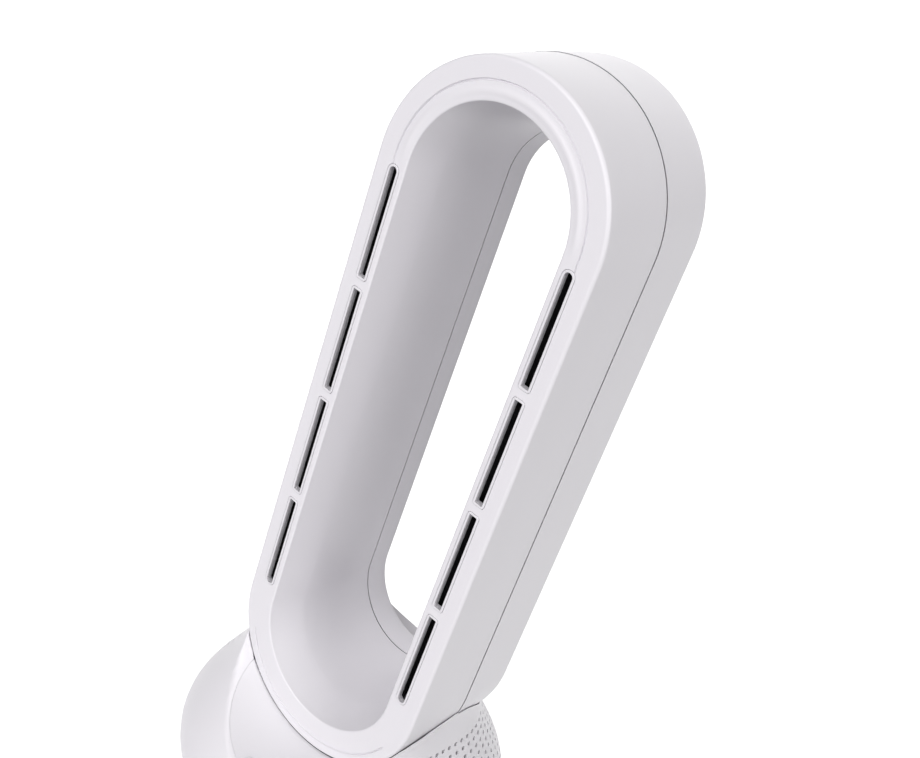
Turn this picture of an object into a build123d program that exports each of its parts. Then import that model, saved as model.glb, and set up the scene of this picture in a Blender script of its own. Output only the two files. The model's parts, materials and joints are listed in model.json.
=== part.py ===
from build123d import *
import os
from math import atan, cos, exp, pi, radians, sin, sqrt, tan

# A bladeless fan: an upright air loop on a swinging bell-shaped base, over a round foot.
# Millimetres. Origin at the base's bottom centre, +Z up, the fan blows towards -Y.
# "Depth" is measured behind the loop's front face, "reach" in front of it.

# ---- Driving dimensions: air loop ----
loop_half_width = 90.0        # at the front face
loop_limb = 375.0             # between the centres of its two round ends
loop_low_centre = 208.0       # height of the lower round end's centre
loop_face_y = -73.0
loop_depth = 122.0
loop_wall = 2.4
front_shell_depth = 63.0
front_shell_draft = 1.73      # degrees
rear_shell_step = 0.4         # the rear shell stands this proud of the front shell's edge
shell_parting = 0.4           # open line between the two shells
face_outer_rounding = 2.6
face_inner_rounding = 1.2
rear_rounding = 11.0
tongue_length = 6.0
tongue_wall = 1.8
tongue_gap = 0.3
tongue_play = 0.2             # more, for the front shell's draft
opening_half_width = 64.0     # of the hole through the loop, at the face
opening_inset = 1.4           # its round ends' centres sit this far inside the loop's
crease_depth = 30.0
crease_half_width = 56.7
crease_inset = 2.7
throat_half_width = 51.2      # at the back
throat_inset = 10.6
inner_parting_depth = 103.0
lip_thickness = 7.5
lip_rounding = 5.0

# ---- Driving dimensions: air slots on the face ----
vent_x = 73.0
slot_count = 4
slot_length = 79.6
slot_pitch = 90.9
slot_width = 5.5
slot_corner = 0.6
lowest_slot_z = 221.5
frame_width = 11.0
frame_margin = 4.0            # frame beyond the end slots
frame_proud = 0.5
frame_seat_depth = 1.4
frame_edge_rounding = 0.4
collar_wall = 1.2
collar_depth = 5.0
trim_gap = 0.3                # round a trim piece set in its seat
guide_wall = 1.6
guide_bend_depth = 20.0
guide_end_depth = 44.0
guide_flare = 6.5
guide_tie = 3.0
guide_inner_share = 0.8       # the wing on the opening's side flares this much less

# ---- Driving dimensions: bell-shaped body ----
bell_radius = 141.0
bell_equator_z = 62.5
bell_top_half_x = 91.2
bell_top_half_y = 69.6
bell_top_centre_y = -19.5
bell_top_z = 186.9
bell_top_tilt = 0.268         # slope of its top section, rising to the rear
bell_squareness = 3.7         # superellipse exponent at the top, 2 is round
bell_shoulder = 1.51
bell_flare = 2.03
bell_roundness_rate = 0.6
bell_under_height = 54.0      # half height of the curve below the equator
bell_low_z = 32.0             # the form is drawn down to here, then cut
bell_overrun = -0.2           # share of the height by which it is drawn past its top
bell_sections = 13
bell_under_sections = 7
bell_outline_points = 32
body_wall = 3.2
body_parting_z = 36.0
body_parting_gap = 0.3
rim_arch_radius = 188.0       # the rim follows a cylinder lying along X
rim_arch_y = 12.5
rim_arch_z = 5.1
rear_notch_radius = 62.0      # keeps the loop's opening clear behind
rear_lip = 4.0
loop_fit_gap = 0.4            # body round the loop

# ---- Driving dimensions: front deck and its controls ----
deck_radius_at_face = 90.4    # about the loop's lower centre
deck_rise = 45.0
deck_decay = 70.0
deck_length = 75.0
deck_curve_points = 8
deck_lip_back = 3.0
panel_thickness = 2.5
panel_half_width = 65.0       # at the loop's face, half an ellipse seen from above
panel_length = 45.4
panel_gap = 0.3
deck_ledge = 1.6
button_reach = 38.0
button_angle = 6.0            # degrees between buttons, about the loop's lower centre
button_radius = 4.0
button_proud = 0.6
button_flange = 1.2
button_flange_height = 1.0
button_gap = 0.25
button_edge = 0.5
button_travel = 0.5
button_play = 0.1             # left over the switch at full travel
stem_radius = 2.0
board_drop = 9.0
board_thickness = 1.2
control_board_length = 62.0
control_board_width = 26.0
control_board_shift = 7.0
switch_size = 6.0
switch_height = 3.5
plunger_radius = 1.6
plunger_height = 0.8
lens_reach = 28.0
lens_radius = 1.5
control_screw_x = 26.0

# ---- Driving dimensions: air inlet holes in the body ----
inlet_hole_radius = 3.4
inlet_row_z = 154.0
inlet_row_step = 21.0         # along the surface
inlet_hole_pitch = 23.0
inlet_start_angle = 66.0      # from straight ahead, either side
inlet_row_count = 6

# ---- Driving dimensions: lower shell and foot ----
foot_radius = 98.0
foot_floor_z = 2.0
foot_floor = 3.0
foot_wall = 2.5
foot_cover_z = 18.0
foot_cover_thickness = 2.5
foot_edge = 1.5
pad_radius = 9.0
pad_height = 4.0
pad_circle = 84.0
pad_angles = (45, 135, 225, 315)
pad_edge = 0.8
spindle_radius = 18.0
spindle_bore = 13.0
spindle_clearance = 0.06
head_floor_z = 27.0
head_floor = 3.0
head_gap = 0.3
skirt_bottom_z = 25.0
skirt_inner_radius = 101.0
lower_tongue = 2.5
lower_tongue_height = 3.0
glide_inner = 78.0
glide_outer = 84.0
glide_groove = 1.0
glide_edge = 0.6
retainer_outer = 24.0
retainer_thickness = 2.0
gland_bore = 3.0
gland_radius = 5.0
gland_flange = 7.0
gland_length = 14.0
gland_z = 11.0
ballast_inner = 35.0
ballast_outer = 76.0
ballast_thickness = 5.0

# ---- Driving dimensions: swing drive ----
gear_module = 1.25
swing_gear_teeth = 48
pinion_teeth = 12
gear_bottom_z = 21.6
gear_height = 5.0
tooth_tip = 0.9               # addendum over module
tooth_root = 1.25             # dedendum over module
tooth_tip_width = 0.8
tooth_root_width = 1.8
swing_motor_radius = 17.5
swing_shaft_radius = 2.5
motor_ear_reach = 21.0
motor_edge = 1.0
running_gap = 0.05

# ---- Driving dimensions: blower ----
blower_radius = 82.0
blower_wall = 2.4
blower_bottom_z = 52.4
blower_top_z = 98.0
inlet_flange = 2.4
throat_radius = 72.5
throat_wall = 2.0
throat_bottom_z = 47.0
throat_top_z = 78.0
bellmouth = 6.5
impeller_radius = 71.5
impeller_bottom_z = 47.0
impeller_top_z = 76.0
blade_count = 9
blade_wall = 1.8
hub_nose_radius = 10.0
hub_curve = ((28.0, 50.5), (44.0, 61.0))  # radius and height of points on its outside
hub_outer_radius = 54.0
hub_inner_radius = 50.5
hub_floor_radius = 39.0
nut_radius = 7.0
shaft_radius = 4.0
shaft_bottom_z = 43.5
shaft_top_z = 91.0
rotor_radius = 31.0
rotor_wall = 2.0
rotor_bottom_z = 60.3
rotor_top_z = 84.0
magnet_thickness = 2.3
stator_radius = 26.0
stator_teeth = 12
stator_leg = 4.5
stator_shoe = 9.0
bearing_tube_radius = 9.5
bearing_radius = 7.55
bearing_height = 4.0
bracket_plate_z = 92.0
bracket_plate = 2.5
hub_shell_radius = 52.0
vane_count = 11
vane_angle = 14.0
vane_bottom_z = 80.0
mount_circle = 93.0
mount_angles = (90, 210, 330)
mount_post_top = 48.0
neck_width = 104.0
neck_length = 94.0
neck_corner = 20.0
neck_centre_y = -11.0
neck_wall = 2.2
neck_shoulder_z = 118.0
neck_end_radius = 93.5        # about the loop's lower centre
neck_ear_x = 60.0
neck_ear_z = 124.0
neck_ear = 4.0
neck_ear_depths = (30.0, 92.0)
filter_radius = 106.0
filter_wall = 1.2
filter_top_z = 72.0
filter_windows = 24

# ---- Driving dimensions: fasteners ----
screw_radius = 1.2
screw_hole = 1.3
screw_clearance = 1.7
screw_head_radius = 3.0
screw_head_height = 1.6
boss_radius = 4.0
body_boss_circle = 112.0
body_boss_angles = (0, 60, 120, 180, 240, 300)
foot_screw_circle = 84.0
foot_screw_angles = (30, 150, 270)
gear_screw_angles = (0, 120, 240)

# ---- Worked out from the driving dimensions ----
loop_mid_z = loop_low_centre + loop_limb / 2
loop_back_y = loop_face_y + loop_depth
front_edge_half_width = loop_half_width + front_shell_depth * tan(radians(front_shell_draft))
rear_half_width = front_edge_half_width + rear_shell_step
rear_shell_depth = front_shell_depth + shell_parting
vent_mid_z = lowest_slot_z + (slot_length + slot_pitch * (slot_count - 1)) / 2
frame_length = slot_length + slot_pitch * (slot_count - 1) + 2 * frame_margin
head_top_of_floor = head_floor_z + head_floor
foot_cover_top = foot_cover_z + foot_cover_thickness
foot_inside_z = foot_floor_z + foot_floor
gear_radius = gear_module * swing_gear_teeth / 2
pinion_offset = gear_module * (swing_gear_teeth + pinion_teeth) / 2
gear_top_z = gear_bottom_z + gear_height
panel_backing = panel_thickness + panel_gap + deck_ledge
button_rest_gap = button_travel + button_play
guide_start_depth = loop_wall + trim_gap
loop_axis = Axis((0, 0, loop_low_centre), (0, 1, 0))
stand = (Align.CENTER, Align.CENTER, Align.MIN)
hang = (Align.CENTER, Align.CENTER, Align.MAX)
beyond = 1.0                  # cuts run this far past the faces they open

os.makedirs("parts", exist_ok=True)


# ---- Helpers ----
def write(builder, name):
    """Label a finished piece and write it as its own file."""
    builder.part.label = name
    export_step(builder.part, f"parts/{name}.step")


def around(radius, angles):
    """Spots on a circle about the upright axis."""
    return [(radius * cos(radians(a)), radius * sin(radians(a))) for a in angles]


def spaced(first, last, count):
    """Evenly spaced values, both ends included."""
    return [first + (last - first) * i / (count - 1) for i in range(count)]


def posts(spots, radius, low, high, mode=Mode.ADD):
    """Upright round posts, or holes when subtracted, at (x, y) spots."""
    with Locations(*[(x, y, low) for x, y in spots]):
        Cylinder(radius, high - low, align=stand, mode=mode)


def ring(outer, inner, low, high, mode=Mode.ADD):
    """An upright ring about the main axis."""
    with BuildSketch(Plane.XY.offset(low)) as profile:
        Circle(outer)
        Circle(inner, mode=Mode.SUBTRACT)
    extrude(profile.sketch, amount=high - low, mode=mode)


def screws(spots, head_low, tip_z, head_height=screw_head_height):
    """Upright screws driven from below, heads down."""
    posts(spots, screw_head_radius, head_low, head_low + head_height)
    posts(spots, screw_radius, head_low + head_height, tip_z)


def loop_plane(depth):
    """Plane parallel to the loop's face, seen from the front, that far behind it."""
    return Plane.XZ.offset(-(loop_face_y + depth))


def stadium(half_width, inset=0.0):
    """Draw the loop's outline, centred on the loop."""
    with Locations((0, loop_mid_z)):
        SlotCenterToCenter(loop_limb - 2 * inset, 2 * half_width, rotation=90)


def stadium_block(levels, grow=0.0):
    """A solid through stadium outlines given as (depth, half width, inset)."""
    with BuildPart() as block:
        for depth, half_width, inset in levels:
            with BuildSketch(loop_plane(depth)):
                stadium(half_width + grow, inset)
        loft(ruled=True)
    return block.part


def blend(low, high, share):
    return low + (high - low) * share


def opening_level(depth):
    """The through opening's outline at a depth, as (depth, half width, inset)."""
    if depth < crease_depth:
        share = depth / crease_depth
        width = blend(opening_half_width, crease_half_width, share)
        return depth, width, blend(opening_inset, crease_inset, share)
    share = (depth - crease_depth) / (loop_depth - crease_depth)
    width = blend(crease_half_width, throat_half_width, share)
    return depth, width, blend(crease_inset, throat_inset, share)


def opening_block(start, end, grow=0.0):
    """The through opening between two depths, as a solid, grown by a wall."""
    depths = [start] + [crease_depth] * (start < crease_depth < end) + [end]
    return stadium_block([opening_level(depth) for depth in depths], grow)


def outer_half_width(depth):
    return loop_half_width + depth * tan(radians(front_shell_draft))


def loop_envelope(gap):
    """The loop's outside, grown by a gap, for pieces that fit round it."""
    front = stadium_block(
        [(depth, outer_half_width(depth), 0) for depth in (-gap, rear_shell_depth)], gap
    )
    with BuildPart() as rear:
        add(stadium_block([(d, rear_half_width, 0) for d in (rear_shell_depth, loop_depth + gap)], gap))
        fillet(rear.faces().group_by(Axis.Y)[-1].edges(), rear_rounding + gap)
    return front + rear.part


def bell_radius_below(z, inset=0.0):
    """Outer radius of the base below its widest level."""
    drop = (bell_equator_z - z) / bell_under_height
    return bell_radius * sqrt(1 - drop * drop) - inset


def bell_section(share, inset=0.0):
    """Half sizes, centre, height, tilt and exponent of the bell at a share of its height."""
    grow = max(0.0, 1 - max(0.0, 1 - share) ** bell_shoulder) ** bell_flare if share > 0 else 0.0
    half_x = blend(bell_top_half_x, bell_radius, grow) - inset
    half_y = blend(bell_top_half_y, bell_radius, grow) - inset
    centre_y = bell_top_centre_y * (1 - grow)
    z = blend(bell_top_z, bell_equator_z, share)
    tilt = bell_top_tilt * (1 - share)
    squareness = blend(bell_squareness, 2.0, max(share, 0.0) ** bell_roundness_rate)
    return half_x, half_y, centre_y, z, tilt, squareness


def bell_point(share, angle, inset=0.0):
    """A point of the bell's surface, the angle counted from +X towards +Y."""
    half_x, half_y, centre_y, z, tilt, squareness = bell_section(share, inset)
    across = cos(angle)
    along = sin(angle)
    size = (abs(across) ** squareness + abs(along) ** squareness) ** (-1 / squareness)
    y = half_y * size * along
    return Vector(half_x * size * across, centre_y + y, z + tilt * y)


def bell_block(inset, bottom_z):
    """The base's solid form, drawn in by an inset, down to a level."""
    turns = [2 * pi * i / bell_outline_points for i in range(bell_outline_points)]
    with BuildPart() as block:
        for share in spaced(bell_overrun, 1.0, bell_sections):
            centre_y, z, tilt = bell_section(share, inset)[2:5]
            section_plane = Plane(origin=(0, centre_y, z), x_dir=(1, 0, 0), z_dir=(0, -tilt, 1))
            with BuildSketch(section_plane):
                with BuildLine():
                    outline = [bell_point(share, turn, inset) for turn in turns]
                    flat = [section_plane.to_local_coords(point) for point in outline]
                    Spline(*[(point.X, point.Y) for point in flat], periodic=True)
                make_face()
        loft()
        for z in spaced(bell_equator_z, bell_low_z, bell_under_sections):
            radius = bell_radius_below(z, inset)
            with BuildSketch(Plane.XY.offset(z)):
                with BuildLine():
                    Spline(*[(radius * cos(t), radius * sin(t)) for t in turns], periodic=True)
                make_face()
        loft()
        split(bisect_by=Plane.XY.offset(bottom_z), keep=Keep.TOP)
    return block.part


def deck_radius(reach):
    """Radius of the front deck about the loop's lower centre, at a reach before the face."""
    return deck_radius_at_face + deck_rise * (1 - exp(-reach / deck_decay))


def deck_block(start, end, below, lip=0.0):
    """Everything nearer the loop's axis than the deck, lowered by a thickness."""
    front_y = loop_face_y - end
    back_y = loop_face_y - start + lip
    with BuildPart() as block:
        with BuildSketch(Plane.YZ):
            with BuildLine():
                curve = Spline(*[
                    (loop_face_y - reach, loop_low_centre - deck_radius(reach) - below)
                    for reach in spaced(start, end, deck_curve_points)
                ])
                corners = [(front_y, loop_low_centre), (back_y, loop_low_centre)]
                if lip:
                    corners.append((back_y, (curve @ 0).Y))
                Polyline(curve @ 1, *corners, curve @ 0)
            make_face()
        revolve(axis=loop_axis)
    return block.part


def panel_column(grow):
    """Upright column with the panel's outline, seen from above."""
    with BuildPart() as column:
        with BuildSketch(Plane.XY):
            with Locations((0, loop_face_y)):
                Ellipse(panel_half_width + grow, panel_length + grow)
        extrude(amount=loop_low_centre)
    return column.part


def deck_plane(reach, turn=0.0):
    """Plane lying on the deck, at a reach before the face and an angle from its middle."""
    slope = atan(deck_rise / deck_decay * exp(-reach / deck_decay))
    swing = radians(turn)
    radius = deck_radius(reach)
    origin = (radius * sin(swing), loop_face_y - reach, loop_low_centre - radius * cos(swing))
    normal = (-cos(slope) * sin(swing), -sin(slope), cos(slope) * cos(swing))
    return Plane(origin=origin, x_dir=(cos(swing), 0, sin(swing)), z_dir=normal)


def plug(plane, radius, low, high, mode=Mode.ADD):
    """A round pin or hole along a plane's normal, between two heights."""
    with Locations(plane.offset(low)):
        Cylinder(radius, high - low, align=stand, mode=mode)


def gear_face(teeth, start_angle, bore):
    """Draw a spur gear with straight-sided teeth."""
    pitch_radius = gear_module * teeth / 2
    root = pitch_radius - tooth_root * gear_module
    height = (tooth_root + tooth_tip) * gear_module
    Circle(root)
    with PolarLocations(root, teeth, start_angle=start_angle):
        Polygon(
            (-tooth_tip_width, -tooth_root_width / 2),
            (height, -tooth_tip_width / 2),
            (height, tooth_tip_width / 2),
            (-tooth_tip_width, tooth_root_width / 2),
            align=None,
        )
    Circle(bore, mode=Mode.SUBTRACT)


def vent_slots(grow=0.0):
    """Draw one column of slots: round at the column's ends, square beside the bridges."""
    width = slot_width + 2 * grow
    length = slot_length + 2 * grow
    half = length / 2
    for k in range(slot_count):
        middle = lowest_slot_z + slot_length / 2 + slot_pitch * k
        first = k == 0
        last = k == slot_count - 1
        if first or last:
            with Locations((0, middle)):
                SlotOverall(length, width, rotation=90)
            with Locations((0, middle + (half / 2 if first else -half / 2))):
                RectangleRounded(width, half, slot_corner + grow)
        else:
            with Locations((0, middle)):
                RectangleRounded(width, length, slot_corner + grow)


# ---- Foot: stands still on its pads ----
pad_spots = around(pad_circle, pad_angles)
foot_screw_spots = around(foot_screw_circle, foot_screw_angles)
swing_motor_spot = (0, -pinion_offset)
motor_ear_spots = [(side * motor_ear_reach, -pinion_offset) for side in (-1, 1)]
power_board_y = 58.0
power_board_length = 46.0
power_board_width = 24.0
power_board_z = 8.0
converter_x = -10.0
converter_size = (14.0, 12.0, 6.0)
capacitor_spot = (6.0, 61.0)
capacitor_radius = 3.6
capacitor_height = 7.0
lead_block_spot = (15.0, 56.0)
lead_block_size = (5.0, 14.0, 4.0)
circuit_board = 1.6
peg_radius = 1.2
peg_hole = 1.35
peg_inset = 3.0

with BuildPart() as rubber_feet:
    posts(pad_spots, pad_radius, 0, pad_height)
    fillet(rubber_feet.faces().group_by(Axis.Z)[0].edges(), pad_edge)
write(rubber_feet, "rubber_feet")

power_peg_spots = [
    (side * (power_board_length / 2 - peg_inset), power_board_y + end * (power_board_width / 2 - peg_inset))
    for side in (-1, 1)
    for end in (-1, 1)
]

with BuildPart() as foot_tray:
    with Locations((0, 0, foot_floor_z)):
        Cylinder(foot_radius, foot_cover_z - foot_floor_z, align=stand)
    chamfer(foot_tray.faces().group_by(Axis.Z)[0].edges(), foot_edge)
    with Locations((0, 0, foot_inside_z)):
        Cylinder(foot_radius - foot_wall, foot_cover_z, align=stand, mode=Mode.SUBTRACT)
    ring(ballast_inner - trim_gap, ballast_inner - 2 * foot_wall, foot_inside_z,
         foot_inside_z + ballast_thickness - beyond)
    posts([swing_motor_spot], swing_motor_radius + foot_wall, foot_inside_z, foot_cover_z, Mode.SUBTRACT)
    posts(power_peg_spots, peg_hole + peg_radius, foot_inside_z, power_board_z)
    posts(power_peg_spots, peg_radius, power_board_z, power_board_z + 2 * circuit_board)
    posts(pad_spots, pad_radius + trim_gap, 0, pad_height, Mode.SUBTRACT)
    posts(foot_screw_spots, screw_head_radius + trim_gap, 0, foot_floor_z + trim_gap + screw_head_height,
          Mode.SUBTRACT)
    posts(foot_screw_spots, screw_clearance, 0, foot_cover_z, Mode.SUBTRACT)
    with Locations((0, foot_radius, gland_z)):
        Cylinder(gland_radius + trim_gap, 4 * foot_wall, rotation=(90, 0, 0), mode=Mode.SUBTRACT)
write(foot_tray, "foot_tray")

with BuildPart() as ballast_plate:
    ring(ballast_outer, ballast_inner, foot_inside_z, foot_inside_z + ballast_thickness)
    posts([swing_motor_spot], swing_motor_radius + 2 * foot_wall, 0, foot_cover_z, Mode.SUBTRACT)
    with Locations((0, ballast_outer, foot_inside_z)):
        Box(power_board_length + 2 * foot_wall, 2 * (ballast_outer - ballast_inner + foot_wall), foot_cover_z,
            mode=Mode.SUBTRACT)
write(ballast_plate, "ballast_plate")

with BuildPart() as cord_gland:
    with BuildSketch(Plane.YZ):
        with BuildLine():
            outside_y = foot_radius
            Polyline(
                (outside_y - gland_length, gland_z + gland_bore),
                (outside_y + foot_edge, gland_z + gland_bore),
                (outside_y + foot_edge, gland_z + gland_flange - foot_edge),
                (outside_y + trim_gap, gland_z + gland_flange),
                (outside_y + trim_gap, gland_z + gland_radius),
                (outside_y - foot_wall - beyond, gland_z + gland_radius),
                (outside_y - foot_wall - beyond, gland_z + gland_radius + beyond),
                (outside_y - 2 * foot_wall, gland_z + gland_radius + beyond),
                (outside_y - gland_length, gland_z + gland_radius - beyond),
                close=True,
            )
        make_face()
    revolve(axis=Axis((0, 0, gland_z), (0, 1, 0)))
write(cord_gland, "cord_gland")

with BuildPart() as power_board:
    with Locations((0, power_board_y, power_board_z)):
        Box(power_board_length, power_board_width, circuit_board, align=stand)
    posts(power_peg_spots, peg_hole, 0, foot_cover_z, Mode.SUBTRACT)
    parts_z = power_board_z + circuit_board
    with Locations((converter_x, power_board_y, parts_z)):
        Box(*converter_size, align=stand)
    posts([capacitor_spot], capacitor_radius, parts_z, parts_z + capacitor_height)
    with Locations((*lead_block_spot, parts_z)):
        Box(*lead_block_size, align=stand)
write(power_board, "power_board")

with BuildPart() as foot_cover:
    ring(foot_radius, spindle_bore, foot_cover_z, foot_cover_top)
    chamfer(foot_cover.edges().filter_by(GeomType.CIRCLE).group_by(Axis.Z)[-1].sort_by(SortBy.RADIUS)[-1],
            foot_edge)
    ring(spindle_radius, spindle_bore, foot_cover_top, head_top_of_floor + head_gap)
    ring(foot_radius - foot_wall - trim_gap, foot_radius - 2 * foot_wall - trim_gap,
         foot_cover_z - foot_wall, foot_cover_z)
    ring(glide_outer + trim_gap, glide_inner - trim_gap, foot_cover_top - glide_groove, foot_cover_top,
         Mode.SUBTRACT)
    with Locations((0, foot_radius - 2 * foot_wall, foot_cover_z)):
        Box(3 * gland_radius, 4 * foot_wall, foot_wall, align=hang, mode=Mode.SUBTRACT)
    posts(foot_screw_spots, boss_radius, foot_inside_z + head_gap, foot_cover_z)
    posts(foot_screw_spots, screw_hole, 0, foot_cover_top - glide_groove - beyond, Mode.SUBTRACT)
    posts([swing_motor_spot], swing_shaft_radius + 2 * foot_wall, foot_cover_z, foot_cover_top, Mode.SUBTRACT)
    posts(motor_ear_spots, screw_hole, 0, foot_cover_top - trim_gap, Mode.SUBTRACT)
    posts(around((spindle_radius + spindle_bore) / 2, foot_screw_angles), screw_hole, foot_cover_top,
          2 * head_top_of_floor, Mode.SUBTRACT)
write(foot_cover, "foot_cover")

with BuildPart() as foot_screws:
    screws(foot_screw_spots, foot_floor_z + trim_gap, foot_cover_z)
write(foot_screws, "foot_screws")

glide_top = head_floor_z - foot_cover_thickness - head_gap
with BuildPart() as glide_ring:
    ring(glide_outer, glide_inner, foot_cover_top - glide_groove, glide_top)
    chamfer(glide_ring.faces().group_by(Axis.Z)[-1].edges(), glide_edge)
write(glide_ring, "glide_ring")

retainer_z = head_top_of_floor + head_gap
retainer_screw_spots = around((spindle_radius + spindle_bore) / 2, foot_screw_angles)
with BuildPart() as retaining_ring:
    ring(retainer_outer, spindle_bore, retainer_z, retainer_z + retainer_thickness)
    posts(retainer_screw_spots, screw_clearance, 0, 2 * retainer_z, Mode.SUBTRACT)
write(retaining_ring, "retaining_ring")

with BuildPart() as retaining_screws:
    retainer_top = retainer_z + retainer_thickness
    posts(retainer_screw_spots, screw_radius, foot_cover_top + foot_edge, retainer_top)
    posts(retainer_screw_spots, 2 * screw_radius, retainer_top, retainer_top + screw_head_height)
write(retaining_screws, "retaining_screws")

# ---- Swing drive: the motor stands in the foot and walks the head round by its ring gear ----
swing_motor_floor = foot_inside_z + head_gap
with BuildPart() as swing_motor:
    posts([swing_motor_spot], swing_motor_radius, swing_motor_floor, foot_cover_z - head_gap)
    fillet(swing_motor.edges().filter_by(GeomType.CIRCLE), motor_edge)
    with Locations((0, -pinion_offset, foot_cover_z)):
        Box(2 * motor_ear_reach, 2 * screw_head_radius, circuit_board, align=hang)
    posts(motor_ear_spots, screw_head_radius, foot_cover_z - circuit_board, foot_cover_z)
    posts([swing_motor_spot], 2 * swing_shaft_radius, foot_cover_z, foot_cover_z + foot_edge)
    posts(motor_ear_spots, screw_clearance, 0, foot_cover_top, Mode.SUBTRACT)
    posts([swing_motor_spot], swing_shaft_radius + running_gap, swing_motor_floor + foot_floor,
          foot_cover_top, Mode.SUBTRACT)
write(swing_motor, "swing_motor")

with BuildPart() as swing_motor_screws:
    screws(motor_ear_spots, foot_cover_z - circuit_board - screw_head_height, foot_cover_top - 2 * trim_gap)
write(swing_motor_screws, "swing_motor_screws")

with BuildPart() as swing_motor_shaft:
    posts([swing_motor_spot], swing_shaft_radius, swing_motor_floor + foot_floor + trim_gap,
          gear_top_z - trim_gap)
write(swing_motor_shaft, "swing_motor_shaft")

pinion_bottom_z = gear_bottom_z
with BuildPart() as drive_pinion:
    with BuildSketch(Plane.XY.offset(pinion_bottom_z).shift_origin((0, -pinion_offset, pinion_bottom_z))):
        gear_face(pinion_teeth, 90 + 180 / pinion_teeth, swing_shaft_radius + running_gap)
    extrude(amount=gear_height - head_gap)
write(drive_pinion, "drive_pinion")

hub_radius = spindle_radius + boss_radius
gear_screw_spots = around((hub_radius + gear_radius - tooth_root * gear_module) / 2, gear_screw_angles)
with BuildPart() as swing_gear:
    with BuildSketch(Plane.XY.offset(gear_bottom_z)):
        gear_face(swing_gear_teeth, 0, hub_radius + running_gap)
    extrude(amount=head_floor_z - gear_bottom_z)
    posts(gear_screw_spots, screw_clearance, 0, head_floor_z, Mode.SUBTRACT)
    posts(gear_screw_spots, 2 * screw_radius, 0, gear_bottom_z + screw_head_height, Mode.SUBTRACT)
write(swing_gear, "swing_gear")

with BuildPart() as gear_screws:
    posts(gear_screw_spots, 2 * screw_radius - running_gap, gear_bottom_z, gear_bottom_z + screw_head_height)
    posts(gear_screw_spots, screw_radius, gear_bottom_z + screw_head_height, head_top_of_floor - head_gap)
write(gear_screws, "gear_screws")

# ---- Lower shell: floor of the swinging head ----
mount_spots = around(mount_circle, mount_angles)
body_boss_spots = around(body_boss_circle, body_boss_angles)
driver_board_x = -91.5
driver_board_width = 17.0
driver_board_length = 56.0
driver_board_z = 33.0
driver_capacitor_ys = (-14.0, -6.0)
driver_capacitor_radius = 3.2
driver_capacitor_height = 9.0
driver_chip_y = 6.0
driver_chip_size = (8.0, 8.0, 1.4)
driver_plug_y = 18.0
driver_plug_size = (7.0, 6.0, 6.0)
driver_peg_spots = [
    (driver_board_x + side * (driver_board_width / 2 - peg_inset), end * (driver_board_length / 2 - peg_inset))
    for side in (-1, 1)
    for end in (-1, 1)
]
tongue_outer = bell_radius_below(body_parting_z) - body_wall - 2 * trim_gap
body_boss_seat = body_parting_z - body_parting_gap
boss_pocket_z = head_top_of_floor + head_gap

with BuildPart() as lower_shell:
    with BuildSketch(Plane.XZ):
        with BuildLine():
            under = Spline(*[(bell_radius_below(z), z) for z in spaced(skirt_bottom_z, body_boss_seat, 6)])
            Polyline(
                under @ 1,
                (tongue_outer, body_boss_seat),
                (tongue_outer, body_parting_z + lower_tongue_height),
                (tongue_outer - lower_tongue, body_parting_z + lower_tongue_height),
                (tongue_outer - lower_tongue, head_top_of_floor + body_wall),
                (bell_radius_below(head_floor_z), head_top_of_floor),
                (spindle_radius + spindle_clearance, head_top_of_floor),
                (spindle_radius + spindle_clearance, gear_bottom_z),
                (hub_radius, gear_bottom_z),
                (hub_radius, head_floor_z),
                (glide_inner - trim_gap, head_floor_z),
                (glide_inner - trim_gap, glide_top + head_gap),
                (glide_outer + trim_gap, glide_top + head_gap),
                (glide_outer + trim_gap, head_floor_z),
                (skirt_inner_radius, head_floor_z),
                (skirt_inner_radius, skirt_bottom_z),
                under @ 0,
            )
        make_face()
    revolve(axis=Axis.Z)
    posts(body_boss_spots, boss_radius + foot_edge, head_top_of_floor, body_boss_seat)
    posts(mount_spots, boss_radius + beyond, head_top_of_floor, mount_post_top)
    posts(driver_peg_spots, peg_hole + peg_radius, head_top_of_floor, driver_board_z)
    posts(driver_peg_spots, peg_radius, driver_board_z, driver_board_z + 2 * circuit_board)
    posts(body_boss_spots, screw_head_radius + trim_gap, 0, boss_pocket_z, Mode.SUBTRACT)
    posts(body_boss_spots, screw_clearance, 0, body_parting_z, Mode.SUBTRACT)
    posts(mount_spots, screw_hole, head_top_of_floor + body_wall, mount_post_top, Mode.SUBTRACT)
    posts(gear_screw_spots, screw_hole, 0, head_top_of_floor - head_gap + trim_gap / 2, Mode.SUBTRACT)
write(lower_shell, "lower_shell")

with BuildPart() as body_screws:
    screws(body_boss_spots, boss_pocket_z - screw_head_height, body_parting_z + 4 * screw_head_radius)
write(body_screws, "body_screws")

with BuildPart() as driver_board:
    with Locations((driver_board_x, 0, driver_board_z)):
        Box(driver_board_width, driver_board_length, circuit_board, align=stand)
    posts(driver_peg_spots, peg_hole, 0, blower_top_z, Mode.SUBTRACT)
    chips_z = driver_board_z + circuit_board
    posts([(driver_board_x, y) for y in driver_capacitor_ys], driver_capacitor_radius, chips_z,
          chips_z + driver_capacitor_height)
    with Locations((driver_board_x, driver_chip_y, chips_z)):
        Box(*driver_chip_size, align=stand)
    with Locations((driver_board_x, driver_plug_y, chips_z)):
        Box(*driver_plug_size, align=stand)
write(driver_board, "driver_board")

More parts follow.
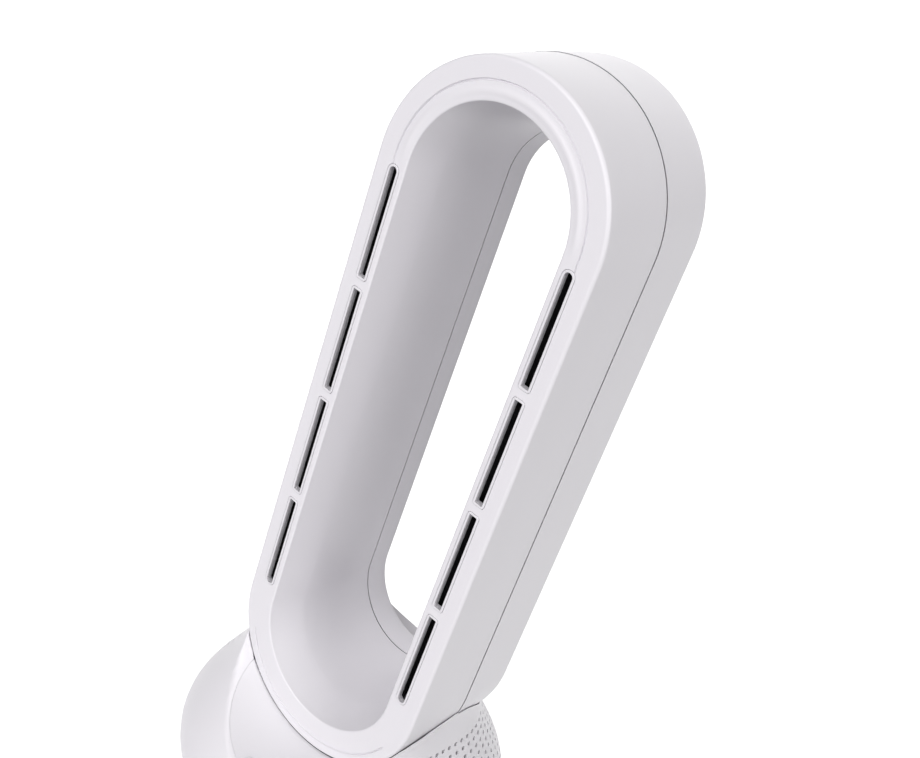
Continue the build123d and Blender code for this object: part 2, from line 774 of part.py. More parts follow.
filter_inner = filter_radius - filter_wall
with BuildPart() as filter_screen:
    ring(filter_radius, filter_inner, head_top_of_floor + head_gap, filter_top_z)
    window_height = (filter_top_z - head_top_of_floor) / 2 - 3 * boss_radius / 2
    for level in (0, 1):
        window_z = head_top_of_floor + boss_radius + level * (window_height + boss_radius)
        with Locations((0, 0, window_z)):
            with PolarLocations(filter_inner, filter_windows, start_angle=180 / filter_windows):
                Box(8 * filter_wall, 5 * boss_radius, window_height, align=stand, mode=Mode.SUBTRACT)
write(filter_screen, "filter_screen")

# ---- Body shell: the bell, cut out for the loop and the front deck ----
bell = bell_block(0, body_parting_z)
deck_cut = deck_block(0, deck_length, 0)
panel_bed = deck_block(0, deck_length, panel_thickness + panel_gap) & panel_column(panel_gap)
hollow = bell_block(body_wall, body_parting_z - beyond) - deck_block(0, deck_length, panel_backing, deck_lip_back)


def loop_axis_ring(outer, inner, start_y, end_y):
    """A ring about the loop's lower round end."""
    with BuildPart() as block:
        with BuildSketch(Plane.XZ.offset(-start_y)):
            with Locations((0, loop_low_centre)):
                Circle(outer)
                if inner:
                    Circle(inner, mode=Mode.SUBTRACT)
        extrude(amount=start_y - end_y)
    return block.part


rear_end_y = bell_radius
rear_backing = loop_axis_ring(
    rear_notch_radius + rear_lip, rear_notch_radius, loop_back_y + loop_fit_gap, rear_end_y
)
hollow = hollow - rear_backing
rear_notch = loop_axis_ring(rear_notch_radius, 0, loop_back_y - beyond, rear_end_y)


def inlet_plane(share, angle):
    """Plane square to the bell's surface, its normal pointing out."""
    here = bell_point(share, angle)
    step = 0.01
    across = bell_point(share, angle + step) - here
    down = bell_point(share + step, angle) - here
    return Plane(origin=here, z_dir=down.cross(across))


def inlet_planes():
    """Staggered rows of hole places round the sides and back, evenly spaced on the surface."""
    planes = []
    share = (bell_top_z - inlet_row_z) / (bell_top_z - bell_equator_z)
    step = 0.002
    for row in range(inlet_row_count):
        sweep = radians(360 - 2 * inlet_start_angle)
        half_x, half_y = bell_section(share)[:2]
        count = round(sweep * (half_x + half_y) / 2 / inlet_hole_pitch)
        for i in range(count + row % 2):
            turn = (i + 0.5 * (1 - row % 2)) / count
            planes.append(inlet_plane(share, radians(inlet_start_angle - 90) + sweep * turn))
        run = 0.0
        while run < inlet_row_step and share < 1 - step:
            run += (bell_point(share + step, pi / 2) - bell_point(share, pi / 2)).length / 2
            run += (bell_point(share + step, 0) - bell_point(share, 0)).length / 2
            share += step
    return planes


control_face = deck_plane(button_reach)
lens_face = deck_plane(lens_reach)
button_faces = {
    "speed_button": deck_plane(button_reach, -button_angle),
    "power_button": control_face,
    "swing_button": deck_plane(button_reach, button_angle),
}
flange_radius = button_radius + button_flange
flange_top = -panel_thickness - button_gap / 2
boss_rise = deck_radius(button_reach) - sqrt(deck_radius(button_reach) ** 2 - control_screw_x ** 2)
control_boss_top = boss_rise - panel_backing + deck_ledge / 2
control_boss_faces = [control_face.shift_origin(control_face.from_local_coords((side * control_screw_x, 0, 0)))
                      for side in (-1, 1)]
body_boss_top = body_parting_z + 4 * boss_radius

with BuildPart() as body_shell:
    add(bell)
    add(deck_cut, mode=Mode.SUBTRACT)
    add(panel_bed, mode=Mode.SUBTRACT)
    add(hollow, mode=Mode.SUBTRACT)
    add(loop_envelope(loop_fit_gap), mode=Mode.SUBTRACT)
    add(rear_notch, mode=Mode.SUBTRACT)
    with BuildSketch(Plane.YZ.offset(-bell_radius)):
        with Locations((rim_arch_y, rim_arch_z + rim_arch_radius)):
            Rectangle(4 * bell_radius, 2 * rim_arch_radius)
        with Locations((rim_arch_y, rim_arch_z)):
            Circle(rim_arch_radius, mode=Mode.SUBTRACT)
    extrude(amount=2 * bell_radius, mode=Mode.SUBTRACT)
    posts(body_boss_spots, boss_radius, body_parting_z, body_boss_top)
    with PolarLocations(body_boss_circle + 2 * boss_radius, len(body_boss_angles)):
        with Locations((0, 0, body_parting_z + lower_tongue_height + head_gap)):
            Box(4 * boss_radius, loop_wall, body_boss_top - body_parting_z - lower_tongue_height - head_gap,
                align=stand)
    posts(body_boss_spots, screw_hole, body_parting_z, body_boss_top - loop_wall, Mode.SUBTRACT)
    for face in control_boss_faces:
        plug(face, 2 * screw_radius, board_thickness - board_drop, control_boss_top)
        plug(face, screw_hole, -board_drop, control_boss_top - deck_ledge, Mode.SUBTRACT)
    for face in button_faces.values():
        plug(face, flange_radius + beyond, -2 * panel_backing, 0, Mode.SUBTRACT)
    plug(lens_face, lens_radius + trim_gap, -2 * panel_backing, 0, Mode.SUBTRACT)
    with Locations(*[plane.offset(-2 * body_wall) for plane in inlet_planes()]):
        Cylinder(inlet_hole_radius, 4 * body_wall, align=stand, mode=Mode.SUBTRACT)
write(body_shell, "body_shell")

# ---- Front deck: panel, buttons and their board ----
with BuildPart() as front_panel:
    add(deck_block(panel_gap, deck_length, panel_thickness))
    add(panel_column(0), mode=Mode.INTERSECT)
    add(deck_block(0, deck_length, 0), mode=Mode.SUBTRACT)
    for face in button_faces.values():
        plug(face, button_radius + button_gap, -2 * panel_thickness, panel_thickness, Mode.SUBTRACT)
    plug(lens_face, lens_radius + running_gap, -2 * panel_thickness, panel_thickness, Mode.SUBTRACT)
write(front_panel, "front_panel")

switch_top = switch_height + plunger_height - board_drop
switch_spots = []
for name, face in button_faces.items():
    lean = face.z_dir.dot(control_face.z_dir)
    height = control_face.to_local_coords(face.origin).Z
    stem_end = -(height - switch_top) / lean + button_rest_gap
    foot_point = face.from_local_coords((0, 0, -(height + board_drop) / lean))
    on_board = control_face.to_local_coords(foot_point)
    switch_spots.append((on_board.X, on_board.Y))
    with BuildPart() as button:
        plug(face, button_radius, flange_top, button_proud)
        fillet(button.edges().filter_by(GeomType.CIRCLE), button_edge)
        plug(face, flange_radius, flange_top - button_flange_height, flange_top)
        plug(face, stem_radius, stem_end, flange_top - button_flange_height)
    write(button, name)

board_plane = control_face.offset(-board_drop)
with BuildPart() as control_board:
    with Locations(board_plane):
        with Locations((0, control_board_shift, -board_thickness)):
            Box(control_board_length, control_board_width, board_thickness, align=stand)
    for face in control_boss_faces:
        plug(face, screw_clearance, -2 * board_drop, 0, Mode.SUBTRACT)
write(control_board, "control_board")

with BuildPart() as tact_switches:
    with Locations(board_plane):
        with Locations(*[(x, y, 0) for x, y in switch_spots]):
            Box(switch_size, switch_size, switch_height, align=stand)
            Cylinder(plunger_radius, switch_height + plunger_height, align=stand)
write(tact_switches, "tact_switches")

with BuildPart() as control_screws:
    for face in control_boss_faces:
        head_top = -board_drop - board_thickness
        plug(face, 2 * screw_radius, head_top - screw_head_height, head_top)
        plug(face, screw_radius, head_top, control_boss_top - 2 * deck_ledge)
write(control_screws, "control_screws")

with BuildPart() as indicator_lens:
    plug(lens_face, lens_radius, trim_gap - board_drop + board_thickness, 0)
write(indicator_lens, "indicator_lens")

# ---- Blower: inlet, impeller, motor, diffuser ----
flange_bottom = blower_bottom_z - inlet_flange
throat_outer = throat_radius + throat_wall
mouth_radius = throat_radius + bellmouth
mouth_z = throat_bottom_z - bellmouth

with BuildPart() as inlet_ring:
    with BuildSketch(Plane.XZ):
        with BuildLine():
            inside = RadiusArc((throat_radius, throat_bottom_z), (mouth_radius, mouth_z), bellmouth)
            outside = RadiusArc(
                (mouth_radius, mouth_z + throat_wall), (throat_outer, throat_bottom_z), throat_wall - bellmouth
            )
            Line(inside @ 1, outside @ 0)
            Polyline(
                outside @ 1,
                (throat_outer, flange_bottom),
                (blower_radius + throat_wall, flange_bottom),
                (blower_radius + throat_wall, blower_bottom_z),
                (throat_outer, blower_bottom_z),
                (throat_outer, throat_top_z),
                (throat_radius, throat_top_z),
                inside @ 0,
            )
        make_face()
    revolve(axis=Axis.Z)
write(inlet_ring, "inlet_ring")

guard_wire = 1.6
guard_rings = 6
guard_spokes = 6
guard_top = mouth_z - head_gap
with BuildPart() as inlet_guard:
    with BuildSketch(Plane.XY.offset(guard_top - guard_wire)):
        for radius in spaced(2 * shaft_radius, mouth_radius, guard_rings):
            with BuildSketch(mode=Mode.PRIVATE) as wire:
                Circle(radius)
                Circle(radius - guard_wire, mode=Mode.SUBTRACT)
            add(wire.sketch)
        with PolarLocations((mouth_radius + 2 * shaft_radius) / 2 - guard_wire, guard_spokes):
            Rectangle(mouth_radius - 2 * shaft_radius, guard_wire)
    extrude(amount=guard_wire)
write(inlet_guard, "inlet_guard")

grommet_bore = 2.6
grommet_neck = 4.9
grommet_radius = 7.0
ear_thickness = 3.0
ear_top = blower_bottom_z + ear_thickness
with BuildPart() as blower_housing:
    ring(blower_radius, blower_radius - blower_wall, blower_bottom_z, blower_top_z)
    posts(mount_spots, grommet_radius + beyond, blower_bottom_z, ear_top)
    with PolarLocations(blower_radius + grommet_radius / 2, len(mount_angles), start_angle=mount_angles[0]):
        with Locations((0, 0, blower_bottom_z)):
            Box(2 * grommet_radius, 2 * grommet_radius, ear_thickness, align=stand)
    posts([(0, 0)], blower_radius - blower_wall, 0, blower_top_z, Mode.SUBTRACT)
    posts(mount_spots, grommet_neck + running_gap, 0, blower_top_z, Mode.SUBTRACT)
write(blower_housing, "blower_housing")

with BuildPart() as rubber_mounts:
    posts(mount_spots, grommet_radius, mount_post_top, blower_bottom_z)
    posts(mount_spots, grommet_neck, blower_bottom_z, ear_top)
    posts(mount_spots, grommet_radius, ear_top, ear_top + throat_wall)
    posts(mount_spots, grommet_bore, 0, blower_top_z, Mode.SUBTRACT)
write(rubber_mounts, "rubber_mounts")

with BuildPart() as mount_screws:
    mount_top = ear_top + throat_wall
    posts(mount_spots, screw_radius, head_top_of_floor + 2 * body_wall, mount_top)
    posts(mount_spots, grommet_radius - beyond, mount_top, mount_top + screw_head_height)
write(mount_screws, "mount_screws")

with BuildPart() as motor_bracket:
    bracket_top = bracket_plate_z + bracket_plate
    bracket_ring = blower_radius - blower_wall - trim_gap
    with PolarLocations((hub_shell_radius + bracket_ring) / 2, vane_count):
        with Locations((0, 0, vane_bottom_z)):
            Box((bracket_ring - hub_shell_radius + throat_wall) / cos(radians(vane_angle)), blade_wall,
                bracket_top - vane_bottom_z, align=stand, rotation=(0, 0, vane_angle))
    ring(2 * bracket_ring, bracket_ring, vane_bottom_z, bracket_top, Mode.SUBTRACT)
    ring(bracket_ring, bracket_ring - throat_wall, vane_bottom_z, bracket_top)
    ring(hub_shell_radius, hub_shell_radius - throat_wall, vane_bottom_z, bracket_top)
    ring(hub_shell_radius, bearing_radius + running_gap, bracket_plate_z, bracket_top)
    ring(bearing_tube_radius, bearing_radius + running_gap, rotor_bottom_z + 2 * boss_radius, bracket_top)
write(motor_bracket, "motor_bracket")

bearing_levels = (rotor_bottom_z + 2 * boss_radius + beyond, bracket_plate_z - bearing_height)
with BuildPart() as motor_bearings:
    for level in bearing_levels:
        ring(bearing_radius, shaft_radius + running_gap, level, level + bearing_height)
write(motor_bearings, "motor_bearings")

with BuildPart() as motor_stator:
    stator_low = rotor_bottom_z + 2 * boss_radius + beyond
    with BuildSketch(Plane.XY.offset(stator_low)):
        Circle(bearing_tube_radius + 3 * beyond)
        with PolarLocations((stator_radius + bearing_tube_radius) / 2, stator_teeth):
            Rectangle(stator_radius - bearing_tube_radius - beyond, stator_leg)
        with PolarLocations(stator_radius - beyond, stator_teeth):
            Rectangle(2 * beyond, stator_shoe)
        Circle(stator_radius + beyond, mode=Mode.INTERSECT)
        Circle(bearing_tube_radius + running_gap, mode=Mode.SUBTRACT)
    extrude(amount=rotor_top_z - stator_low - 4 * beyond)
write(motor_stator, "motor_stator")

# ---- Rotor: everything that spins with the shaft ----
with BuildPart() as motor_shaft:
    posts([(0, 0)], shaft_radius, shaft_bottom_z, shaft_top_z)
write(motor_shaft, "motor_shaft")

with BuildPart() as motor_rotor:
    ring(rotor_radius, rotor_radius - rotor_wall, rotor_bottom_z, rotor_top_z)
    ring(rotor_radius, shaft_radius + running_gap / 2, rotor_bottom_z, rotor_bottom_z + rotor_wall)
    ring(bearing_radius, shaft_radius + running_gap / 2, rotor_bottom_z, rotor_bottom_z + 2 * boss_radius - beyond)
write(motor_rotor, "motor_rotor")

with BuildPart() as rotor_magnets:
    magnet_outer = rotor_radius - rotor_wall - running_gap
    ring(magnet_outer, magnet_outer - magnet_thickness / 2, rotor_bottom_z + 2 * rotor_wall,
         rotor_top_z - beyond)
write(rotor_magnets, "rotor_magnets")

hub_floor_z = rotor_bottom_z - head_gap
with BuildSketch() as blade:
    with BuildLine():
        camber = RadiusArc((3 * shaft_radius, 0), (impeller_radius + beyond, 0), -impeller_radius)
        offset(camber, amount=blade_wall / 2)
    make_face()

with BuildPart() as impeller:
    with BuildSketch(Plane.XY.offset(impeller_bottom_z)):
        with PolarLocations(0, blade_count):
            add(blade.sketch)
    extrude(amount=impeller_top_z - impeller_bottom_z)
    with BuildSketch(Plane.XZ):
        with BuildLine():
            nose = Spline(
                (hub_nose_radius, impeller_bottom_z), *hub_curve, (hub_outer_radius, impeller_top_z)
            )
            Polyline(
                nose @ 1,
                (hub_inner_radius, impeller_top_z),
                (hub_floor_radius, hub_floor_z),
                (0, hub_floor_z),
                (0, impeller_bottom_z),
                nose @ 0,
            )
        make_face()
    revolve(axis=Axis.Z)
    with BuildSketch(Plane.XZ):
        Polygon(
            (0, hub_floor_z), (hub_floor_radius, hub_floor_z), (hub_inner_radius, impeller_top_z),
            (0, impeller_top_z), align=None,
        )
    revolve(axis=Axis.Z, mode=Mode.SUBTRACT)
    ring(2 * impeller_radius, impeller_radius, impeller_bottom_z, impeller_top_z, Mode.SUBTRACT)
    posts([(0, 0)], shaft_radius + running_gap / 2, 0, blower_top_z, Mode.SUBTRACT)
write(impeller, "impeller")

with BuildPart() as impeller_nut:
    with BuildSketch(Plane.XY.offset(shaft_bottom_z - foot_edge)):
        RegularPolygon(nut_radius, 6)
    extrude(amount=impeller_bottom_z - shaft_bottom_z + foot_edge)
    posts([(0, 0)], shaft_radius + running_gap / 2, shaft_bottom_z, blower_top_z, Mode.SUBTRACT)
write(impeller_nut, "impeller_nut")

# ---- Neck: carries the air and the loop ----
socket_radius = blower_radius + trim_gap
neck_ears = [(side * neck_ear_x, loop_face_y + depth) for side in (-1, 1) for depth in neck_ear_depths]


def neck_block(grow):
    """The duct's form from the round blower to the loop's underside."""
    with BuildPart() as block:
        with BuildSketch(Plane.XY.offset(blower_top_z)):
            Circle(socket_radius + neck_wall + grow)
        with BuildSketch(Plane.XY.offset(neck_shoulder_z)):
            with Locations((0, neck_centre_y)):
                RectangleRounded(neck_width + 2 * grow, neck_length + 2 * grow, neck_corner + grow)
        loft()
        with BuildSketch(Plane.XY.offset(neck_shoulder_z)):
            with Locations((0, neck_centre_y)):
                RectangleRounded(neck_width + 2 * grow, neck_length + 2 * grow, neck_corner + grow)
        extrude(amount=neck_corner)
    return block.part


loop_clearance = loop_axis_ring(neck_end_radius, 0, -bell_radius, bell_radius)
neck_outside = neck_block(0)
neck_inside = neck_block(-neck_wall)

with BuildPart() as neck_duct:
    add(neck_outside)
    for x, y in neck_ears:
        with Locations((x - neck_ear * (x > 0) + neck_ear * (x < 0), y, neck_ear_z)):
            Box(4 * neck_ear, 4 * neck_ear, neck_ear, align=stand)
    add(neck_inside, mode=Mode.SUBTRACT)
    add(loop_clearance, mode=Mode.SUBTRACT)
    ring(socket_radius + neck_wall, socket_radius, blower_top_z - 4 * neck_wall, blower_top_z)
    posts(neck_ears, screw_clearance, 0, loop_low_centre, Mode.SUBTRACT)
write(neck_duct, "neck_duct")

with BuildPart() as neck_seal:
    add(neck_outside - neck_inside)
    add(loop_axis_ring(2 * neck_end_radius, neck_end_radius - 2 * running_gap, -bell_radius, bell_radius),
        mode=Mode.SUBTRACT)
    add(loop_axis_ring(neck_end_radius - running_gap, 0, -bell_radius, bell_radius), mode=Mode.INTERSECT)
    add(loop_envelope(2 * running_gap), mode=Mode.SUBTRACT)
write(neck_seal, "neck_seal")

with BuildPart() as loop_screws:
    screws(neck_ears, neck_ear_z - screw_head_height, neck_ear_z + 4 * neck_ear)
write(loop_screws, "loop_screws")


# ---- Air loop ----
def screw_posts(depth, mode=Mode.ADD, radius=boss_radius, top=0.0):
    """Screw bosses that stand on the neck's ears and run up into the loop."""
    spots = [(side * neck_ear_x, loop_face_y + depth) for side in (-1, 1)]
    posts(spots, radius, neck_ear_z + neck_ear, neck_ear_z + 6 * neck_ear + top, mode)


air_port_front = loop_face_y + neck_ear_depths[0] - 2 * boss_radius
port_length = neck_length - 2 * neck_wall
port_width = neck_width - 2 * neck_wall - 2 * boss_radius


def air_port(mode=Mode.SUBTRACT):
    """The opening in the loop's underside that the neck feeds."""
    with Locations((0, neck_centre_y, loop_low_centre - neck_end_radius - beyond)):
        Box(port_width, port_length, neck_end_radius - opening_half_width - 2 * loop_wall - beyond,
            align=stand, mode=mode)


front_outer = stadium_block([(d, outer_half_width(d), 0) for d in (0, front_shell_depth)])
front_hollow = stadium_block(
    [(d, outer_half_width(d) - loop_wall, 0) for d in (loop_wall, front_shell_depth + beyond)]
)
with BuildPart() as loop_front_shell:
    add(front_outer)
    add(opening_block(-beyond, front_shell_depth + beyond), mode=Mode.SUBTRACT)
    face_edges = loop_front_shell.edges().group_by(Axis.Y)[0]
    outer_edges = [e for e in face_edges if e.bounding_box().max.X > (loop_half_width + opening_half_width) / 2
                   or e.bounding_box().min.X < -(loop_half_width + opening_half_width) / 2]
    fillet(outer_edges, face_outer_rounding)
    face_edges = loop_front_shell.edges().group_by(Axis.Y)[0]
    inner_edges = [e for e in face_edges if abs(e.bounding_box().max.X) < opening_half_width + beyond
                   and abs(e.bounding_box().min.X) < opening_half_width + beyond]
    fillet(inner_edges, face_inner_rounding)
    add(front_hollow, mode=Mode.SUBTRACT)
    add(opening_block(loop_wall, inner_parting_depth, loop_wall) - opening_block(0, loop_depth))
    screw_posts(neck_ear_depths[0])
    screw_posts(neck_ear_depths[0], Mode.SUBTRACT, screw_hole, -loop_wall)
    air_port()
    for side in (-1, 1):
        with BuildSketch(loop_plane(-beyond)):
            with Locations((side * vent_x, vent_mid_z)):
                SlotOverall(frame_length + 2 * trim_gap, frame_width + 2 * trim_gap, rotation=90)
        extrude(amount=-(frame_seat_depth + beyond), mode=Mode.SUBTRACT)
        with BuildSketch(loop_plane(0)):
            with Locations((side * vent_x, 0)):
                vent_slots(collar_wall + trim_gap)
        extrude(amount=-2 * loop_wall, mode=Mode.SUBTRACT)
write(loop_front_shell, "loop_front_shell")

collar_half = front_edge_half_width - loop_wall - tongue_gap - tongue_play
with BuildPart() as rear_block:
    add(stadium_block([(d, rear_half_width, 0) for d in (rear_shell_depth, loop_depth)]))
    back_edges = rear_block.faces().group_by(Axis.Y)[-1].edges()
    fillet(back_edges, rear_rounding)
with BuildPart() as rear_hollow:
    add(stadium_block([(d, rear_half_width - loop_wall, 0) for d in (0, loop_depth - loop_wall)]))
    fillet(rear_hollow.faces().group_by(Axis.Y)[-1].edges(), rear_rounding - loop_wall)

rear_lip_block = opening_block(inner_parting_depth + shell_parting, loop_depth - beyond, lip_thickness)
throat = opening_block(0, loop_depth + beyond)
tongue_levels = (front_shell_depth - tongue_length, rear_shell_depth + tongue_wall)
tongue_block = stadium_block([(d, collar_half, 0) for d in tongue_levels])
tongue_inside = stadium_block([(d, collar_half - tongue_wall, 0) for d in (0, loop_depth)])
collar_block = stadium_block([(d, rear_half_width - beyond, 0) for d in (rear_shell_depth, tongue_levels[1])])

with BuildPart() as loop_rear_shell:
    add(rear_block.part)
    add(rear_hollow.part, mode=Mode.SUBTRACT)
    add((tongue_block + collar_block) - tongue_inside)
    add(rear_lip_block)
    add(throat, mode=Mode.SUBTRACT)
    inner_back = [e for e in loop_rear_shell.faces().group_by(Axis.Y)[-1].edges()
                  if abs(e.bounding_box().max.X) < opening_half_width
                  and abs(e.bounding_box().min.X) < opening_half_width]
    fillet(inner_back, lip_rounding)
    screw_posts(neck_ear_depths[1])
    screw_posts(neck_ear_depths[1], Mode.SUBTRACT, screw_hole, -loop_wall)
    air_port()
write(loop_rear_shell, "loop_rear_shell")


def vent_frame(side):
    """Trim round one column of slots, with a collar behind each slot."""
    with BuildPart() as frame:
        with BuildSketch(loop_plane(-frame_proud)):
            with Locations((side * vent_x, vent_mid_z)):
                SlotOverall(frame_length, frame_width, rotation=90)
        extrude(amount=-(frame_proud + frame_seat_depth))
        fillet(frame.faces().group_by(Axis.Y)[0].edges(), frame_edge_rounding)
        with BuildSketch(loop_plane(frame_seat_depth)):
            with Locations((side * vent_x, 0)):
                vent_slots(collar_wall)
        extrude(amount=-(collar_depth - frame_seat_depth))
        with BuildSketch(loop_plane(-beyond)):
            with Locations((side * vent_x, 0)):
                vent_slots()
        extrude(amount=-(collar_depth + 2 * beyond), mode=Mode.SUBTRACT)
    return frame


guide_low_z = lowest_slot_z - collar_wall - trim_gap
guide_high_z = vent_mid_z + frame_length / 2
collar_half_width = slot_width / 2 + collar_wall + trim_gap


def air_guide(side):
    """Pair of plates behind one column of slots that gather the air towards it."""
    with BuildPart() as guide:
        for wing in (-1, 1):
            with BuildSketch(Plane.XY.offset(guide_low_z)):
                near = side * vent_x + wing * collar_half_width
                far = near + wing * guide_wall
                end = wing * guide_flare * (1 if wing == side else guide_inner_share)
                start_y = loop_face_y + guide_start_depth
                bend_y = loop_face_y + guide_bend_depth
                end_y = loop_face_y + guide_end_depth
                Polygon(
                    (near, start_y), (far, start_y), (far, bend_y), (far + end, end_y), (near + end, end_y),
                    (near, bend_y), align=None,
                )
            extrude(amount=guide_high_z - guide_low_z)
        for k in range(slot_count - 1):
            bridge_z = lowest_slot_z + slot_length + slot_pitch * k + (slot_pitch - slot_length) / 2
            with Locations((side * vent_x, loop_face_y + (guide_bend_depth + collar_depth) / 2, bridge_z)):
                Box(2 * collar_half_width + guide_wall, guide_bend_depth - collar_depth, guide_tie)
    return guide


for side, hand in ((-1, "left"), (1, "right")):
    write(vent_frame(side), f"{hand}_vent_frame")
    write(air_guide(side), f"{hand}_air_guide")
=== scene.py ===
import bpy
import json
from bisect import bisect_left
from math import atan2, ceil, cos, exp, hypot, pi, radians, sin, sqrt, tan
from mathutils import Matrix, Vector


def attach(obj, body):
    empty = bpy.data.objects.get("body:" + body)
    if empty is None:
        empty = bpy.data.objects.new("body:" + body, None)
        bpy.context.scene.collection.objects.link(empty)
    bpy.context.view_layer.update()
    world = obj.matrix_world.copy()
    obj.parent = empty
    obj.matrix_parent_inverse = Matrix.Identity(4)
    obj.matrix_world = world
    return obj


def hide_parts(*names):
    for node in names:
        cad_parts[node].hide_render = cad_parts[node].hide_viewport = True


# A bladeless fan, dressed for the picture. Shapes are worked out in millimetres, in the CAD
# model's frame, and written in metres. "Depth" is measured behind the air loop's face, "reach"
# before it, and "rho" across the loop from the centre line of its limbs.

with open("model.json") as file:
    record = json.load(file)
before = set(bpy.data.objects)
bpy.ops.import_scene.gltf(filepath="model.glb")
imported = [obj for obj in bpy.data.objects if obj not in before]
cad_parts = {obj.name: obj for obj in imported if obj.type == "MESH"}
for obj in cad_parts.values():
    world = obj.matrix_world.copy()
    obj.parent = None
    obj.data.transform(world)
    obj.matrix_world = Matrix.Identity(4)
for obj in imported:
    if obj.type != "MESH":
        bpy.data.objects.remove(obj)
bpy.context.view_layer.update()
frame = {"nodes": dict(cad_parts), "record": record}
scene = bpy.context.scene
scene.view_settings.view_transform = "Standard"
MM = 0.001

# ---- Sizes of the CAD model, a few of them fitted more closely to the picture ----
FACE_Y = -73.0
LOOP_DEPTH = 122.0
LOW_Z = 208.0
HIGH_Z = 583.0
OUTER_HALF = 90.0
DRAFT = tan(radians(1.73))
PARTING = 63.0
PARTING_GAP = 0.4
PARTING_CUT = 0.3
REAR_HALF = 92.3
REAR_ROUNDING = 11.0
WALL = 2.4
INNER_PARTING = 100.0
CREASE = 30.0
OPENING = ((0.0, 64.0, 1.4), (CREASE, 56.7, 2.7), (LOOP_DEPTH, 51.2, 10.6))
LIP_ROUNDING = 3.0
LIP_WIDTH = 7.5

VENT_X = 73.0
SLOT_COUNT = 4
SLOT_LENGTH = 81.0
SLOT_PITCH = 90.9
SLOT_WIDTH = 6.1
LOWEST_SLOT = 221.5
SLOT_CORNER = 0.6
RIM_WIDTH = 1.7
RIM_GAP = 0.35
FRAME_PROUD = 0.5
SEAT_DEPTH = 1.4
TRIM_GAP = 0.3
COLLAR_WALL = 1.2
COLLAR_DEPTH = 4.4

BELL_RADIUS = 141.0
BELL_TOP_X = 91.2
BELL_TOP_Y = 69.6
BELL_TOP_SHIFT = -19.5
BELL_TOP_Z = 186.9
EQUATOR_Z = 62.5
BELL_TILT = 0.268
BELL_SQUARE = 3.7
BELL_SHOULDER = 1.51
BELL_FLARE = 2.03
UNDER_HEIGHT = 54.0
BODY_BOTTOM_Z = 36.0
ARCH_RADIUS = 230.0
ARCH_Y = 26.0
ARCH_Z = -35.0
NOTCH_RADIUS = 62.0
NOTCH_Y = 48.0
FIT_GAP = 0.9
DECK_RADIUS = 90.4
DECK_DROP = 0.6
DROP_LENGTH = 4.0
DECK_RISE = 45.0
DECK_DECAY = 70.0
PANEL_HALF_WIDTH = 65.0
PANEL_LENGTH = 45.4
PANEL_GAP = 0.2
PANEL_THICKNESS = 2.5
BUTTON_REACH = 38.0
BUTTON_TURN = 6.0
BUTTON_HOLE = 4.25
LENS_REACH = 28.0
LENS_HOLE = 1.55


def mix(low, high, share):
    return low + (high - low) * share


# ---- Materials ----
def shader(name, colour, second, roughness, *, patch=6.0, grain=900.0, grain_depth=0.02, rough_spread=0.06,
           metallic=0.0, coat=0.0, coat_roughness=0.2, stretch=(1, 1, 1), specular=0.5, grain_detail=2.0):
    """A procedural material: two close colours in soft patches, a moulded or cut grain, uneven gloss."""
    material = bpy.data.materials.new(name)
    material.use_nodes = True
    nodes = material.node_tree.nodes
    links = material.node_tree.links
    surface = nodes["Principled BSDF"]
    surface.inputs["Metallic"].default_value = metallic
    surface.inputs["Coat Weight"].default_value = coat
    surface.inputs["Coat Roughness"].default_value = coat_roughness
    surface.inputs["Specular IOR Level"].default_value = specular
    place = nodes.new("ShaderNodeTexCoord")
    stretched = nodes.new("ShaderNodeMapping")
    stretched.inputs["Scale"].default_value = stretch
    links.new(place.outputs["Object"], stretched.inputs["Vector"])

    patches = nodes.new("ShaderNodeTexNoise")
    patches.inputs["Scale"].default_value = patch
    patches.inputs["Detail"].default_value = 3.0
    links.new(stretched.outputs["Vector"], patches.inputs["Vector"])
    tint = nodes.new("ShaderNodeMix")
    tint.data_type = "RGBA"
    tint.inputs["A"].default_value = (*colour, 1)
    tint.inputs["B"].default_value = (*second, 1)
    links.new(patches.outputs["Fac"], tint.inputs["Factor"])
    links.new(tint.outputs["Result"], surface.inputs["Base Color"])

    gloss = nodes.new("ShaderNodeMapRange")
    gloss.inputs["To Min"].default_value = roughness - rough_spread
    gloss.inputs["To Max"].default_value = roughness + rough_spread
    links.new(patches.outputs["Fac"], gloss.inputs["Value"])
    links.new(gloss.outputs["Result"], surface.inputs["Roughness"])

    texture = nodes.new("ShaderNodeTexNoise")
    texture.inputs["Scale"].default_value = grain
    texture.inputs["Detail"].default_value = grain_detail
    links.new(stretched.outputs["Vector"], texture.inputs["Vector"])
    bump = nodes.new("ShaderNodeBump")
    bump.inputs["Strength"].default_value = 1.0
    bump.inputs["Distance"].default_value = grain_depth * MM
    links.new(texture.outputs["Fac"], bump.inputs["Height"])
    links.new(bump.outputs["Normal"], surface.inputs["Normal"])
    return material


